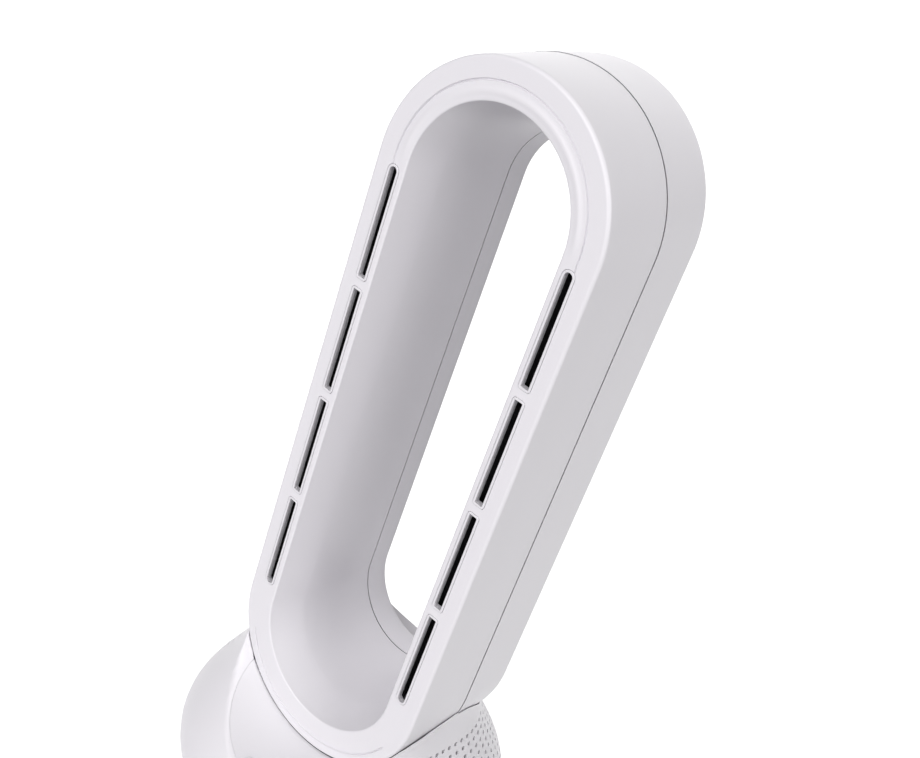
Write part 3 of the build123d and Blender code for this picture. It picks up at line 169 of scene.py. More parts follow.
def layered(material, scale, share, colour, direction="Z"):
    """Add thin bands of a second colour, as in stacked sheets or wound wire."""
    nodes = material.node_tree.nodes
    links = material.node_tree.links
    surface = nodes["Principled BSDF"]
    bands = nodes.new("ShaderNodeTexWave")
    bands.bands_direction = direction
    bands.inputs["Scale"].default_value = scale
    bands.inputs["Distortion"].default_value = 0.4
    links.new(nodes["Texture Coordinate"].outputs["Object"], bands.inputs["Vector"])
    cut = nodes.new("ShaderNodeMapRange")
    cut.inputs["From Min"].default_value = share
    cut.inputs["From Max"].default_value = min(1.0, share + 0.1)
    links.new(bands.outputs["Fac"], cut.inputs["Value"])
    before = surface.inputs["Base Color"].links[0].from_socket
    both = nodes.new("ShaderNodeMix")
    both.data_type = "RGBA"
    both.inputs["B"].default_value = (*colour, 1)
    links.new(cut.outputs["Result"], both.inputs["Factor"])
    links.new(before, both.inputs["A"])
    links.new(both.outputs["Result"], surface.inputs["Base Color"])
    return material


satin = dict(grain=1400.0, grain_depth=0.006, patch=5.0)
materials = {
    "white_shell": shader("white_shell", (0.800, 0.785, 0.815), (0.812, 0.798, 0.826), 0.36, **satin),
    # white_trim is a little darker than white_shell: painted shade, so that the up-facing deck panel,
    # which the lamps light more than the face, comes out no brighter than the face. The slot frames share
    # this darker tone.
    "white_trim": shader("white_trim", (0.765, 0.753, 0.780), (0.777, 0.765, 0.791), 0.34, **satin),
    "white_button": shader("white_button", (0.800, 0.790, 0.810), (0.815, 0.805, 0.825), 0.30, **satin),
    "grey_plastic": shader("grey_plastic", (0.20, 0.20, 0.21), (0.24, 0.24, 0.25), 0.5, grain_depth=0.02),
    "black_plastic": shader("black_plastic", (0.012, 0.012, 0.013), (0.018, 0.018, 0.019), 0.6,
                            grain_depth=0.02, specular=0.3),
    "black_rubber": shader("black_rubber", (0.018, 0.018, 0.018), (0.028, 0.028, 0.029), 0.8,
                           grain=600.0, grain_depth=0.05, specular=0.3),
    "grey_foam": shader("grey_foam", (0.10, 0.10, 0.11), (0.15, 0.15, 0.16), 0.95, grain=500.0,
                        grain_depth=0.3, specular=0.2),
    "acetal": shader("acetal", (0.72, 0.70, 0.64), (0.76, 0.74, 0.69), 0.35),
    "steel": shader("steel", (0.56, 0.56, 0.57), (0.66, 0.66, 0.67), 0.3, metallic=1.0,
                    grain_depth=0.004),
    "iron": shader("iron", (0.13, 0.13, 0.14), (0.18, 0.17, 0.17), 0.6, metallic=0.7, grain_depth=0.04),
    "laminated_steel": layered(
        shader("laminated_steel", (0.42, 0.42, 0.44), (0.48, 0.48, 0.50), 0.4, metallic=0.9),
        320.0, 0.7, (0.10, 0.10, 0.11)),
    "magnet": shader("magnet", (0.10, 0.10, 0.11), (0.14, 0.14, 0.15), 0.45, metallic=0.4),
    "aluminium": shader("aluminium", (0.70, 0.71, 0.72), (0.78, 0.78, 0.79), 0.35, metallic=1.0,
                        grain_depth=0.02, stretch=(1, 1, 6)),
    "circuit_board": layered(
        shader("circuit_board", (0.02, 0.12, 0.06), (0.03, 0.15, 0.08), 0.45, coat=0.3),
        75.0, 0.86, (0.35, 0.30, 0.12), "DIAGONAL"),
    "lens": shader("lens", (0.42, 0.42, 0.44), (0.48, 0.48, 0.50), 0.12, coat=0.6, coat_roughness=0.05,
                   grain_depth=0.002),
    "filter": shader("filter", (0.05, 0.05, 0.055), (0.09, 0.09, 0.095), 0.9, grain=700.0,
                     grain_depth=0.4, specular=0.2),
}

for row in frame["record"]["subparts"]:
    data = frame["nodes"][row["node"]].data
    data.materials.clear()
    data.materials.append(materials[row["material_slot"]])


# ---- Mesh helpers ----
def piece(name, points, faces, slot, body, replaced=(), sharp=32.0):
    """Make a smooth-shaded piece from millimetre points, riding on a body."""
    mesh = bpy.data.meshes.new(name)
    mesh.from_pydata([(x * MM, y * MM, z * MM) for x, y, z in points], [], faces)
    mesh.validate()
    mesh.materials.append(materials[slot])
    mesh.shade_smooth()
    mesh.set_sharp_from_angle(angle=radians(sharp))
    made = bpy.data.objects.new(name, mesh)
    scene.collection.objects.link(made)
    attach(made, body)
    if replaced:
        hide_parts(*replaced)
    return made


def cut_away(target, cutters, sharp=32.0):
    """Take closed shapes out of a piece, then drop them."""
    for cutter in cutters:
        modifier = target.modifiers.new("cut", "BOOLEAN")
        modifier.operation = "DIFFERENCE"
        modifier.solver = "EXACT"
        modifier.object = cutter
    bpy.context.view_layer.update()
    graph = bpy.context.evaluated_depsgraph_get()
    mesh = bpy.data.meshes.new_from_object(target.evaluated_get(graph))
    target.modifiers.clear()
    target.data = mesh
    mesh.shade_smooth()
    mesh.set_sharp_from_angle(angle=radians(sharp))
    for cutter in cutters:
        bpy.data.objects.remove(cutter)


def prism(outline, low_y, high_y):
    """A closed shape with an outline of (x, z) points, between two y levels."""
    count = len(outline)
    points = [(x, low_y, z) for x, z in outline] + [(x, high_y, z) for x, z in outline]
    faces = [list(range(count)), list(range(2 * count - 1, count - 1, -1))]
    faces += [(i, i + count, (i + 1) % count + count, (i + 1) % count) for i in range(count)]
    mesh = bpy.data.meshes.new("cutter")
    mesh.from_pydata([(x * MM, y * MM, z * MM) for x, y, z in points], [], faces)
    made = bpy.data.objects.new("cutter", mesh)
    scene.collection.objects.link(made)
    return made


def arc(centre_x, centre_z, radius, start, end, steps):
    """Points of an arc in the (x, z) plane, angles in degrees from +x towards +z."""
    turns = [radians(mix(start, end, i / steps)) for i in range(steps + 1)]
    return [(centre_x + radius * cos(t), centre_z + radius * sin(t)) for t in turns]


# ---- Air loop: profiles swept round a stadium ----
ARC_STEPS = 72
LIMB_STEPS = 30
top_arc = [("arc", HIGH_Z, -1, 180.0 * i / ARC_STEPS) for i in range(ARC_STEPS + 1)]
low_arc = [("arc", LOW_Z, 1, 180.0 + 180.0 * i / ARC_STEPS) for i in range(ARC_STEPS + 1)]
left_limb = [("limb", -1, (i + 1) / LIMB_STEPS) for i in range(LIMB_STEPS - 1)]
right_limb = [("limb", 1, 1 - (i + 1) / LIMB_STEPS) for i in range(LIMB_STEPS - 1)]
stations = top_arc + left_limb + low_arc + right_limb


def opening_at(depth):
    """Half width and inset of the hole through the loop, at a depth."""
    for (d0, w0, i0), (d1, w1, i1) in zip(OPENING, OPENING[1:]):
        if depth <= d1:
            share = (depth - d0) / (d1 - d0)
            return mix(w0, w1, share), mix(i0, i1, share)
    return OPENING[-1][1:]


def loop_point(station, depth, half_width, inset):
    if station[0] == "arc":
        _, centre, pull, degrees = station
        turn = radians(degrees)
        return half_width * cos(turn), FACE_Y + depth, centre + pull * inset + half_width * sin(turn)
    _, side, share = station
    return side * half_width, FACE_Y + depth, mix(HIGH_Z - inset, LOW_Z + inset, share)


def sweep(name, profile, replaced, relief=None):
    """A closed profile of (depth, half width, inset) points, carried round the loop."""
    count = len(profile)
    points = []
    for station in stations:
        for depth, half_width, inset in profile:
            extra = relief(station, half_width) if relief and depth < 0.01 else 0.0
            points.append(loop_point(station, depth + extra, half_width, inset))
    faces = []
    for i in range(len(stations)):
        here = i * count
        there = (i + 1) % len(stations) * count
        for j in range(count):
            k = (j + 1) % count
            faces.append((here + j, here + k, there + k, there + j))
    return piece(name, points, faces, "white_shell", "head", replaced)


FACE_OUTER = 2.6
FACE_INNER = 1.2
TOP_GROOVE = 75.3
LOW_GROOVE = 81.0
GROOVE_HALF = 0.8
GROOVE_DEPTH = 1.5
LOW_GROOVE_SPAN = 63.0
BEAD_RHO = 69.5
BEAD_HALF = 3.2
BEAD_HEIGHT = 0.7
BEAD_FADE = 12.0                # degrees of the arc over which the bead dies out at each end
BACK_EASE = 4.0
FAR_CLEAR = 99.0


def relief(station, rho):
    """Depth added to the face at a place: the two engraved lines and the soft bead."""
    on_top = station[0] == "arc" and station[1] == HIGH_Z
    deep = 0.0
    if on_top:
        deep += GROOVE_DEPTH * max(0.0, 1 - abs(rho - TOP_GROOVE) / GROOVE_HALF)
        fade = min(1.0, station[3] / BEAD_FADE, (180.0 - station[3]) / BEAD_FADE)
        bead = max(0.0, 1 - ((rho - BEAD_RHO) / BEAD_HALF) ** 2)
        deep -= BEAD_HEIGHT * bead ** 2 * max(0.0, fade)
    elif station[0] == "arc" and abs(station[3] - 270.0) <= LOW_GROOVE_SPAN:
        deep += GROOVE_DEPTH * max(0.0, 1 - abs(rho - LOW_GROOVE) / GROOVE_HALF)
    return deep


face_rhos = sorted(
    {87.0, 86.0, 84.0, 82.6, 79.0, 77.5, 76.4, 73.6, 72.0, 71.0, 70.0, 69.0, 68.0, 67.0, 66.3}
    | {TOP_GROOVE + k * GROOVE_HALF / 2 for k in (-2, -1, 0, 1, 2)}
    | {LOW_GROOVE + k * GROOVE_HALF / 2 for k in (-2, -1, 0, 1, 2)},
    reverse=True,
)


def front_profile():
    """Closed section of the front shell, from its outer edge over the face to the inner edge."""
    def outside(depth):
        return OUTER_HALF + depth * DRAFT

    section = [(PARTING - PARTING_CUT, outside(PARTING), 0.0)]
    section += [(depth, outside(depth), 0.0) for depth in (45.0, 25.0, 8.0)]
    corner = FACE_OUTER
    section += [
        (corner - corner * sin(t), outside(corner) - corner + corner * cos(t), 0.0)
        for t in [radians(90.0 * i / 6) for i in range(7)]
    ]
    opening, inset = opening_at(0)
    for rho in face_rhos:
        pull = inset * min(1.0, max(0.0, (TOP_GROOVE - rho) / (TOP_GROOVE - opening)))
        section.append((0.0, rho, pull))
    start = opening_at(FACE_INNER)
    for i in range(6):
        t = radians(90.0 * (i + 1) / 6)
        width = mix(opening + FACE_INNER, start[0], sin(t))
        section.append((FACE_INNER * (1 - cos(t)), width, inset))
    for depth in (6.0, 14.0, 22.0, CREASE - 0.7, CREASE + 0.7, 45.0, 60.0, 75.0, 90.0):
        section.append((depth, *opening_at(depth)))
    end = opening_at(INNER_PARTING)
    section.append((INNER_PARTING - PARTING_CUT, *end))
    section.append((INNER_PARTING, end[0] + WALL, end[1]))
    middle = opening_at(CREASE)
    section.append((CREASE, middle[0] + WALL, middle[1]))
    section.append((WALL + 1.0, opening + WALL, inset))
    section.append((WALL, opening + WALL + 1.0, inset))
    section.append((WALL, OUTER_HALF - WALL - 1.0, 0.0))
    section.append((WALL + 1.0, OUTER_HALF - WALL, 0.0))
    section.append((PARTING, outside(PARTING) - WALL, 0.0))
    return section


def rear_profile():
    """Closed section of the rear shell, from its outer edge round the back to the inner edge."""
    start = PARTING + PARTING_GAP
    section = [(start, REAR_HALF, 0.0)]
    section += [(depth, REAR_HALF, 0.0) for depth in (75.0, 90.0, 103.0)]
    corner = REAR_ROUNDING
    section += [
        (LOOP_DEPTH - corner + corner * sin(t), REAR_HALF - corner + corner * cos(t), 0.0)
        for t in [radians(90.0 * i / 10) for i in range(11)]
    ]
    throat, inset = opening_at(LOOP_DEPTH)
    for rho in (76.0, 70.0, 64.0):
        pull = inset * (REAR_HALF - corner - rho) / (REAR_HALF - corner - throat - LIP_ROUNDING)
        section.append((LOOP_DEPTH, rho, pull))
    back = LIP_ROUNDING
    edge = opening_at(LOOP_DEPTH - back)
    for i in range(9):
        t = radians(90.0 * i / 8)
        width = edge[0] + back - back * sin(t)
        section.append((LOOP_DEPTH - back + back * cos(t), width, mix(inset, edge[1], i / 8)))
    section.append((110.0, *opening_at(110.0)))
    start_in = INNER_PARTING + PARTING_GAP
    inner = opening_at(start_in)
    section.append((start_in, *inner))
    section.append((start_in + WALL, inner[0] + WALL, inner[1]))
    section.append((LOOP_DEPTH - WALL - back, edge[0] + LIP_WIDTH, edge[1]))
    section.append((LOOP_DEPTH - WALL, edge[0] + LIP_WIDTH + BACK_EASE, edge[1]))
    section.append((LOOP_DEPTH - WALL, REAR_HALF - corner, 0.0))
    section.append((LOOP_DEPTH - corner, REAR_HALF - WALL, 0.0))
    section.append((start + WALL, REAR_HALF - WALL, 0.0))
    return section


front_loop = sweep("front_loop_skin", front_profile(), ["loop_front_shell"], relief)
rear_loop = sweep("rear_loop_skin", rear_profile(), ["loop_rear_shell"])

# ---- Air slots: trim rims set in the face ----
def slot_outline(x, index, grow):
    """Outline of one slot: round at the column's ends, small corners beside the bridges."""
    half = SLOT_WIDTH / 2 + grow
    low = LOWEST_SLOT + SLOT_PITCH * index - grow
    high = low + SLOT_LENGTH + 2 * grow
    small = SLOT_CORNER + grow
    points = []
    if index == SLOT_COUNT - 1:
        points += arc(x, high - half, half, 0, 180, 16)
    else:
        points += arc(x + half - small, high - small, small, 0, 90, 5)
        points += arc(x - half + small, high - small, small, 90, 180, 5)
    if index == 0:
        points += arc(x, low + half, half, 180, 360, 16)
    else:
        points += arc(x - half + small, low + small, small, 180, 270, 5)
        points += arc(x + half - small, low + small, small, 270, 360, 5)
    return points


def plate_mesh(outlines, front_y, back_y, rounding):
    """A flat piece with holes, outlines as (x, z) points, its edges rounded."""
    curve = bpy.data.curves.new("plate", "CURVE")
    curve.dimensions = "2D"
    curve.fill_mode = "BOTH"
    curve.bevel_depth = rounding * MM
    curve.offset = -rounding * MM
    curve.bevel_resolution = 3
    curve.extrude = ((back_y - front_y) / 2 - rounding) * MM
    for outline in outlines:
        spline = curve.splines.new("POLY")
        spline.points.add(len(outline) - 1)
        for point, (x, z) in zip(spline.points, outline):
            point.co = (x * MM, z * MM, 0, 1)
        spline.use_cyclic_u = True
    holder = bpy.data.objects.new("plate", curve)
    scene.collection.objects.link(holder)
    bpy.context.view_layer.update()
    mesh = bpy.data.meshes.new_from_object(holder.evaluated_get(bpy.context.evaluated_depsgraph_get()))
    bpy.data.objects.remove(holder)
    bpy.data.curves.remove(curve)
    middle = (front_y + back_y) / 2 * MM
    points = [(v.co.x / MM, (middle - v.co.z) / MM, v.co.y / MM) for v in mesh.vertices]
    faces = [tuple(p.vertices) for p in mesh.polygons]
    bpy.data.meshes.remove(mesh)
    return points, faces


def joined(parts):
    points = []
    faces = []
    for more_points, more_faces in parts:
        shift = len(points)
        points += more_points
        faces += [tuple(i + shift for i in face) for face in more_faces]
    return points, faces


RIM_ROUNDING = 0.4
CUT_BEFORE = 2.0
CUT_BEHIND = 6.0
seat_cutters = []
for side, hand in ((-1, "left"), (1, "right")):
    x = side * VENT_X
    slots = [slot_outline(x, k, 0.0) for k in range(SLOT_COUNT)]
    parts = []
    for k in range(SLOT_COUNT):
        rims = [slot_outline(x, k, RIM_WIDTH), slots[k]]
        parts.append(plate_mesh(rims, FACE_Y - FRAME_PROUD, FACE_Y + SEAT_DEPTH, RIM_ROUNDING))
        walls = [slot_outline(x, k, COLLAR_WALL), slots[k]]
        parts.append(plate_mesh(walls, FACE_Y + SEAT_DEPTH, FACE_Y + COLLAR_DEPTH, 0.0))
        collar_hole = slot_outline(x, k, COLLAR_WALL + TRIM_GAP)
        seat_cutters.append(prism(collar_hole, FACE_Y - CUT_BEFORE, FACE_Y + CUT_BEHIND))
        rim_seat = slot_outline(x, k, RIM_WIDTH + RIM_GAP)
        seat_cutters.append(prism(rim_seat, FACE_Y - CUT_BEFORE, FACE_Y + SEAT_DEPTH))
    points, faces = joined(parts)
    piece(f"{hand}_slot_frame", points, faces, "white_trim", "head", [f"{hand}_vent_frame"])
cut_away(front_loop, seat_cutters)


# ---- Bell-shaped body with fine air holes ----
def bell_section(share, inset=0.0):
    grow = max(0.0, 1 - max(0.0, 1 - share) ** BELL_SHOULDER) ** BELL_FLARE if share > 0 else 0.0
    half_x = mix(BELL_TOP_X, BELL_RADIUS, grow) - inset
    half_y = mix(BELL_TOP_Y, BELL_RADIUS, grow) - inset
    square = mix(BELL_SQUARE, 2.0, max(share, 0.0) ** 0.6)
    return half_x, half_y, BELL_TOP_SHIFT * (1 - grow), BELL_TILT * (1 - share), square


def body_point(share, angle, inset=0.0):
    """A point of the body's surface: share 0 is the top, 1 the widest level, more is below it."""
    z = mix(BELL_TOP_Z, EQUATOR_Z, share)
    if share > 1:
        radius = BELL_RADIUS * sqrt(1 - ((EQUATOR_Z - z) / UNDER_HEIGHT) ** 2) - inset
        return Vector((radius * cos(angle), radius * sin(angle), z))
    half_x, half_y, shift, tilt, square = bell_section(share, inset)
    size = (abs(cos(angle)) ** square + abs(sin(angle)) ** square) ** (-1 / square)
    y = half_y * size * sin(angle)
    return Vector((half_x * size * cos(angle), shift + y, z + tilt * y))


def deck_radius(reach):
    """Radius of the deck's hollow before the loop's face, a little lower right beside the face."""
    ahead = max(reach, 0.0)
    return DECK_RADIUS + DECK_RISE * (1 - exp(-ahead / DECK_DECAY)) + DECK_DROP * exp(-ahead / DROP_LENGTH)


def loop_half_width(depth):
    """Outside half width of the loop at a depth."""
    if depth < PARTING:
        return OUTER_HALF + max(depth, 0.0) * DRAFT
    past = depth - (LOOP_DEPTH - REAR_ROUNDING)
    if past <= 0:
        return REAR_HALF
    return REAR_HALF - REAR_ROUNDING + sqrt(max(0.0, REAR_ROUNDING ** 2 - past ** 2))


def clearance(point):
    """How far a body point stands clear of the loop, sideways. Large where the loop isn't."""
    x, y, z = point
    depth = y - FACE_Y
    if not -FIT_GAP <= depth <= LOOP_DEPTH + FIT_GAP:
        return FAR_CLEAR
    return hypot(x, z - LOW_Z) - loop_half_width(depth) - FIT_GAP


def taken_away(point):
    """True where the body is cut back: the top arch, the deck, the loop and the rear notch."""
    x, y, z = point
    if z > ARCH_Z + sqrt(ARCH_RADIUS ** 2 - (y - ARCH_Y) ** 2):
        return True
    across = hypot(x, z - LOW_Z)
    reach = FACE_Y - y
    if reach >= 0 and across < deck_radius(reach):
        return True
    if clearance(point) < 0:
        return True
    return y > NOTCH_Y and across < NOTCH_RADIUS


def rim_share(angle):
    """Share of the body's height at which its edge lies, in one direction."""
    low, high = 0.98, 0.98
    while high > -0.3 and not taken_away(body_point(high, angle)):
        high -= 0.01
    low = high + 0.01
    for _ in range(24):
        middle = (low + high) / 2
        if taken_away(body_point(middle, angle)):
            high = middle
        else:
            low = middle
    return low


HOLE_RADIUS = 1.8
HOLE_PITCH = 7.5
HOLE_ROW = 8.6
HOLE_ROWS = 13
HOLE_START = radians(-24.0)
HOLE_END = radians(204.0)
FIRST_LINE_Z = 162.0
SPACING_SHARE = (BELL_TOP_Z - 150.0) / (BELL_TOP_Z - EQUATOR_Z)
SHELL = 1.8
RIM_ROWS = 12
SHOULDER_ROWS = 8
SHOULDER_PULL = 1.1
SHOULDER_FLAT = 0.25
STRIP_UNDER = 1.5
SIDE_STEPS = 16
OUTLINE_STEPS = 120
LOWER_ROWS = 7
HOLE_RIM_MARGIN = 4.0
PLAIN_PITCH = 3.2
HIGHEST_SHARE = -0.3
LOWEST_SHARE = 1.2
SHARE_STEP = 0.002
ANGLE_STEP = 0.002


def spaced_angles(start, end, pitch, multiple):
    """Angles evenly spaced along the body's surface at one level."""
    fine = 800
    turns = [mix(start, end, i / fine) for i in range(fine + 1)]
    places = [body_point(SPACING_SHARE, t) for t in turns]
    run = [0.0]
    for a, b in zip(places, places[1:]):
        run.append(run[-1] + (b - a).length)
    count = multiple * max(1, round(run[-1] / pitch / multiple))
    angles = []
    for i in range(count + 1):
        want = run[-1] * i / count
        k = min(max(bisect_left(run, want), 1), fine)
        share = (want - run[k - 1]) / (run[k] - run[k - 1])
        angles.append(mix(turns[k - 1], turns[k], share))
    return angles


holed = spaced_angles(HOLE_START, HOLE_END, HOLE_PITCH / 2, 2)
plain = spaced_angles(HOLE_END, HOLE_START + 2 * pi, PLAIN_PITCH, 1)[1:-1]


def corner_angle(low, high):
    """Angle between two at which the body's edge passes the loop's face."""
    low_front = body_point(rim_share(low), low).y < FACE_Y
    for _ in range(30):
        middle = (low + high) / 2
        if (body_point(rim_share(middle), middle).y < FACE_Y) == low_front:
            low = middle
        else:
            high = middle
    return (low + high) / 2


for k in range(len(plain) - 1):
    ends = [body_point(rim_share(a), a).y < FACE_Y for a in (plain[k], plain[k + 1])]
    if ends[0] != ends[1]:
        exact = corner_angle(plain[k], plain[k + 1])
        plain[k if ends[1] else k + 1] = exact
angles = holed + plain

levels = []
for angle in angles:
    fine = 260
    shares = [mix(HIGHEST_SHARE, LOWEST_SHARE, i / fine) for i in range(fine + 1)]
    places = [body_point(s, angle) for s in shares]
    run = [0.0]
    for a, b in zip(places, places[1:]):
        run.append(run[-1] + (b - a).length)
    k = next(i for i, p in enumerate(places) if p.z < FIRST_LINE_Z)
    part = (places[k - 1].z - FIRST_LINE_Z) / (places[k - 1].z - places[k].z)
    zero = mix(run[k - 1], run[k], part)
    levels.append((shares, [r - zero for r in run]))


def share_at(column, distance):
    """Share of the height at a distance along the surface below the first line."""
    shares, run = levels[column]
    k = min(max(bisect_left(run, distance), 1), len(run) - 1)
    return mix(shares[k - 1], shares[k], (distance - run[k - 1]) / (run[k] - run[k - 1]))


def distance_at(column, share):
    shares, run = levels[column]
    k = min(max(bisect_left(shares, share), 1), len(run) - 1)
    return mix(run[k - 1], run[k], (share - shares[k - 1]) / (shares[k] - shares[k - 1]))


def outward(share, angle):
    across = body_point(share, angle + ANGLE_STEP) - body_point(share, angle - ANGLE_STEP)
    down = body_point(share + SHARE_STEP, angle) - body_point(share - SHARE_STEP, angle)
    return down.cross(across).normalized()


body_outer = []
body_inner = []
body_faces = []


def on_deck(point):
    """The same place dropped or raised onto the deck's surface."""
    radius = deck_radius(FACE_Y - point.y)
    return Vector((point.x, point.y, LOW_Z - sqrt(max(0.0, radius ** 2 - point.x ** 2))))


def lengths(places):
    """Share of a line's whole length at each of its points."""
    run = [0.0]
    for a, b in zip(places, places[1:]):
        run.append(run[-1] + (b - a).length)
    return [r / run[-1] for r in run]


def inner_sides():
    """Inner end of the rim band per column: along the loop's face, round the panel, and back."""
    edges = {}
    for column, angle in enumerate(angles):
        edge = body_point(rim_share(angle), angle)
        if edge.y < FACE_Y:
            edges[column] = edge
    left = min(edge.x for edge in edges.values())
    half_width = PANEL_HALF_WIDTH + PANEL_GAP
    steps = [mix(left, -half_width, i / SIDE_STEPS) for i in range(SIDE_STEPS)]
    beside = [on_deck(Vector((x, FACE_Y + STRIP_UNDER, 0))) for x in steps]
    turns = [pi * (i / OUTLINE_STEPS - 0.5) for i in range(OUTLINE_STEPS + 1)]
    length = PANEL_LENGTH + PANEL_GAP
    line = list(beside)
    line += [on_deck(Vector((half_width * sin(t), FACE_Y - length * cos(t), 0))) for t in turns]
    line += [Vector((-p.x, p.y, p.z)) for p in reversed(beside)]
    run = lengths(line)
    found = {}
    for column, share in zip(edges, lengths(list(edges.values()))):
        k = min(max(bisect_left(run, share), 1), len(run) - 1)
        found[column] = line[k - 1].lerp(line[k], (share - run[k - 1]) / (run[k] - run[k - 1]))
    return found


def add_pair(outside, inside):
    body_outer.append(tuple(outside))
    body_inner.append(tuple(inside))
    return len(body_outer) - 1


def add_point(share, angle):
    point = body_point(share, angle)
    normal = outward(share, angle)
    return add_pair(point, point - normal * min(SHELL, max(0.3, clearance(point))))


def rim_band(column, angle, rim, top):
    """Points from the panel's edge over the soft shoulder, or from the plain rim, to the first line."""
    edge = body_point(rim, angle)
    normal = outward(rim, angle)
    if column not in sides:
        return [add_point(mix(rim, top, (r / RIM_ROWS) ** 1.5), angle) for r in range(RIM_ROWS)]
    side = sides[column]
    width = (side - edge).length
    start = distance_at(column, rim)
    turned = min(SHOULDER_PULL * width, distance_at(column, top) - start - 1.0)
    foot = body_point(share_at(column, start + turned), angle)
    pull = mix(edge, (side + foot) / 2, SHOULDER_FLAT)
    made = []
    for r in range(SHOULDER_ROWS + 1):
        part = r / SHOULDER_ROWS
        place = side * (1 - part) ** 2 + pull * 2 * part * (1 - part) + foot * part ** 2
        made.append(add_pair(place, place - (Vector((0, 0, SHELL)) * (1 - part) + normal * SHELL * part)))
    for r in range(1, RIM_ROWS - SHOULDER_ROWS):
        share = mix(share_at(column, start + turned), top, r / (RIM_ROWS - SHOULDER_ROWS))
        made.append(add_point(share, angle))
    return made


bottom_share = (BELL_TOP_Z - BODY_BOTTOM_Z) / (BELL_TOP_Z - EQUATOR_Z)
sides = inner_sides()
first_line = []
rim_points = []
line_points = []
for c, angle in enumerate(angles):
    rim = rim_share(angle)
    rim_run = distance_at(c, rim)
    start = max(0, ceil((rim_run + HOLE_RIM_MARGIN) / HOLE_ROW))
    first_line.append(start)
    top = share_at(c, start * HOLE_ROW)
    rim_points.append(rim_band(c, angle, rim, top))
    lines = {k: add_point(share_at(c, k * HOLE_ROW), angle) for k in range(start, HOLE_ROWS + 1)}
    last = share_at(c, HOLE_ROWS * HOLE_ROW)
    for r in range(1, LOWER_ROWS + 1):
        lines[HOLE_ROWS + r] = add_point(mix(last, bottom_share, r / LOWER_ROWS), angle)
    line_points.append(lines)

count = len(angles)
for c in range(count):
    d = (c + 1) % count
    left = rim_points[c] + [line_points[c][first_line[c]]]
    right = rim_points[d] + [line_points[d][first_line[d]]]
    for r in range(RIM_ROWS):
        body_faces.append((left[r], right[r], right[r + 1], left[r + 1]))
    high, low = sorted((first_line[c], first_line[d]))
    if high != low:
        fan_column = c if first_line[c] == high else d
        other = d if fan_column == c else c
        fan = [line_points[fan_column][k] for k in range(high, low + 1)] + [line_points[other][low]]
        body_faces.append(tuple(fan if fan_column == d else reversed(fan)))

hole_cells = set()
last_holed = len(holed) - 1
for c in range(1, last_holed, 2):
    for k in range(HOLE_ROWS):
        if max(first_line[c - 1], first_line[c], first_line[c + 1]) <= k:
            hole_cells.add((c, k))

RING = 16
BORDER = ((10, 11, 12), (12, 13, 14), (14, 15, 0, 1, 2), (2, 3, 4), (4, 5, 6), (6, 7, 8, 9, 10))
for c, k in sorted(hole_cells):
    middle = (k + 0.5) * HOLE_ROW
    share = share_at(c, middle)
    across = body_point(share, angles[c] + ANGLE_STEP) - body_point(share, angles[c] - ANGLE_STEP)
    stretch = across.length / (2 * ANGLE_STEP)
    ring = []
    for i in range(RING):
        turn = 2 * pi * i / RING
        ring.append(add_point(
            share_at(c, middle + HOLE_RADIUS * sin(turn)), angles[c] + HOLE_RADIUS * cos(turn) / stretch
        ))
    border = [
        line_points[c - 1][k], line_points[c][k], line_points[c + 1][k],
        line_points[c + 1][k + 1], line_points[c][k + 1], line_points[c - 1][k + 1],
    ]
    for i, run in enumerate(BORDER):
        body_faces.append(tuple([border[i], border[(i + 1) % 6]] + [ring[j] for j in reversed(run)]))

for c in range(count):
    d = (c + 1) % count
    for k in range(max(first_line[c], first_line[d]), HOLE_ROWS + LOWER_ROWS):
        if (c, k) in hole_cells or (d, k) in hole_cells:
            continue
        body_faces.append((
            line_points[c][k], line_points[d][k], line_points[d][k + 1], line_points[c][k + 1]
        ))


def thicken(outer, inner, faces):
    """Close a surface into a shell with its inner side."""
    count = len(outer)
    closed = list(faces) + [tuple(i + count for i in reversed(face)) for face in faces]
    open_edges = {}
    for face in faces:
        for a, b in zip(face, face[1:] + face[:1]):
            if (b, a) in open_edges:
                del open_edges[(b, a)]
            else:
                open_edges[(a, b)] = True
    closed += [(b, a, a + count, b + count) for a, b in open_edges]
    return outer + inner, closed


points, faces = thicken(body_outer, body_inner, body_faces)
piece("body_skin", points, faces, "white_shell", "head", ["body_shell"])


# ---- Front deck panel ----
def deck_point(reach, turn, below=0.0):
    radius = deck_radius(reach) + below
    return Vector((radius * sin(turn), FACE_Y - reach, LOW_Z - radius * cos(turn)))


PANEL_BACK = -1.6
PANEL_ROWS = 30
PANEL_COLUMNS = 96
PANEL_TIP = 0.9999              # keeps the outermost columns from shrinking to a point
ROD_SIDES = 48
ROD_LOW = -5.0
ROD_HIGH = 3.0
panel_top = []
panel_under = []
panel_faces = []
for c in range(PANEL_COLUMNS + 1):
    across = PANEL_HALF_WIDTH * sin(pi / 2 * (2 * c / PANEL_COLUMNS - 1)) * PANEL_TIP
    end = PANEL_LENGTH * sqrt(1 - (across / PANEL_HALF_WIDTH) ** 2)
    for r in range(PANEL_ROWS + 1):
        reach = mix(PANEL_BACK, end, 1 - (1 - r / PANEL_ROWS) ** 1.3)
        place = on_deck(Vector((across, FACE_Y - reach, 0)))
        panel_top.append(tuple(place))
        panel_under.append((place.x, place.y, place.z - PANEL_THICKNESS))
for c in range(PANEL_COLUMNS):
    for r in range(PANEL_ROWS):
        a = c * (PANEL_ROWS + 1) + r
        b = a + PANEL_ROWS + 1
        panel_faces.append((a, a + 1, b + 1, b))
points, faces = thicken(panel_top, panel_under, panel_faces)
panel = piece("deck_panel_skin", points, faces, "white_trim", "head", ["front_panel"])


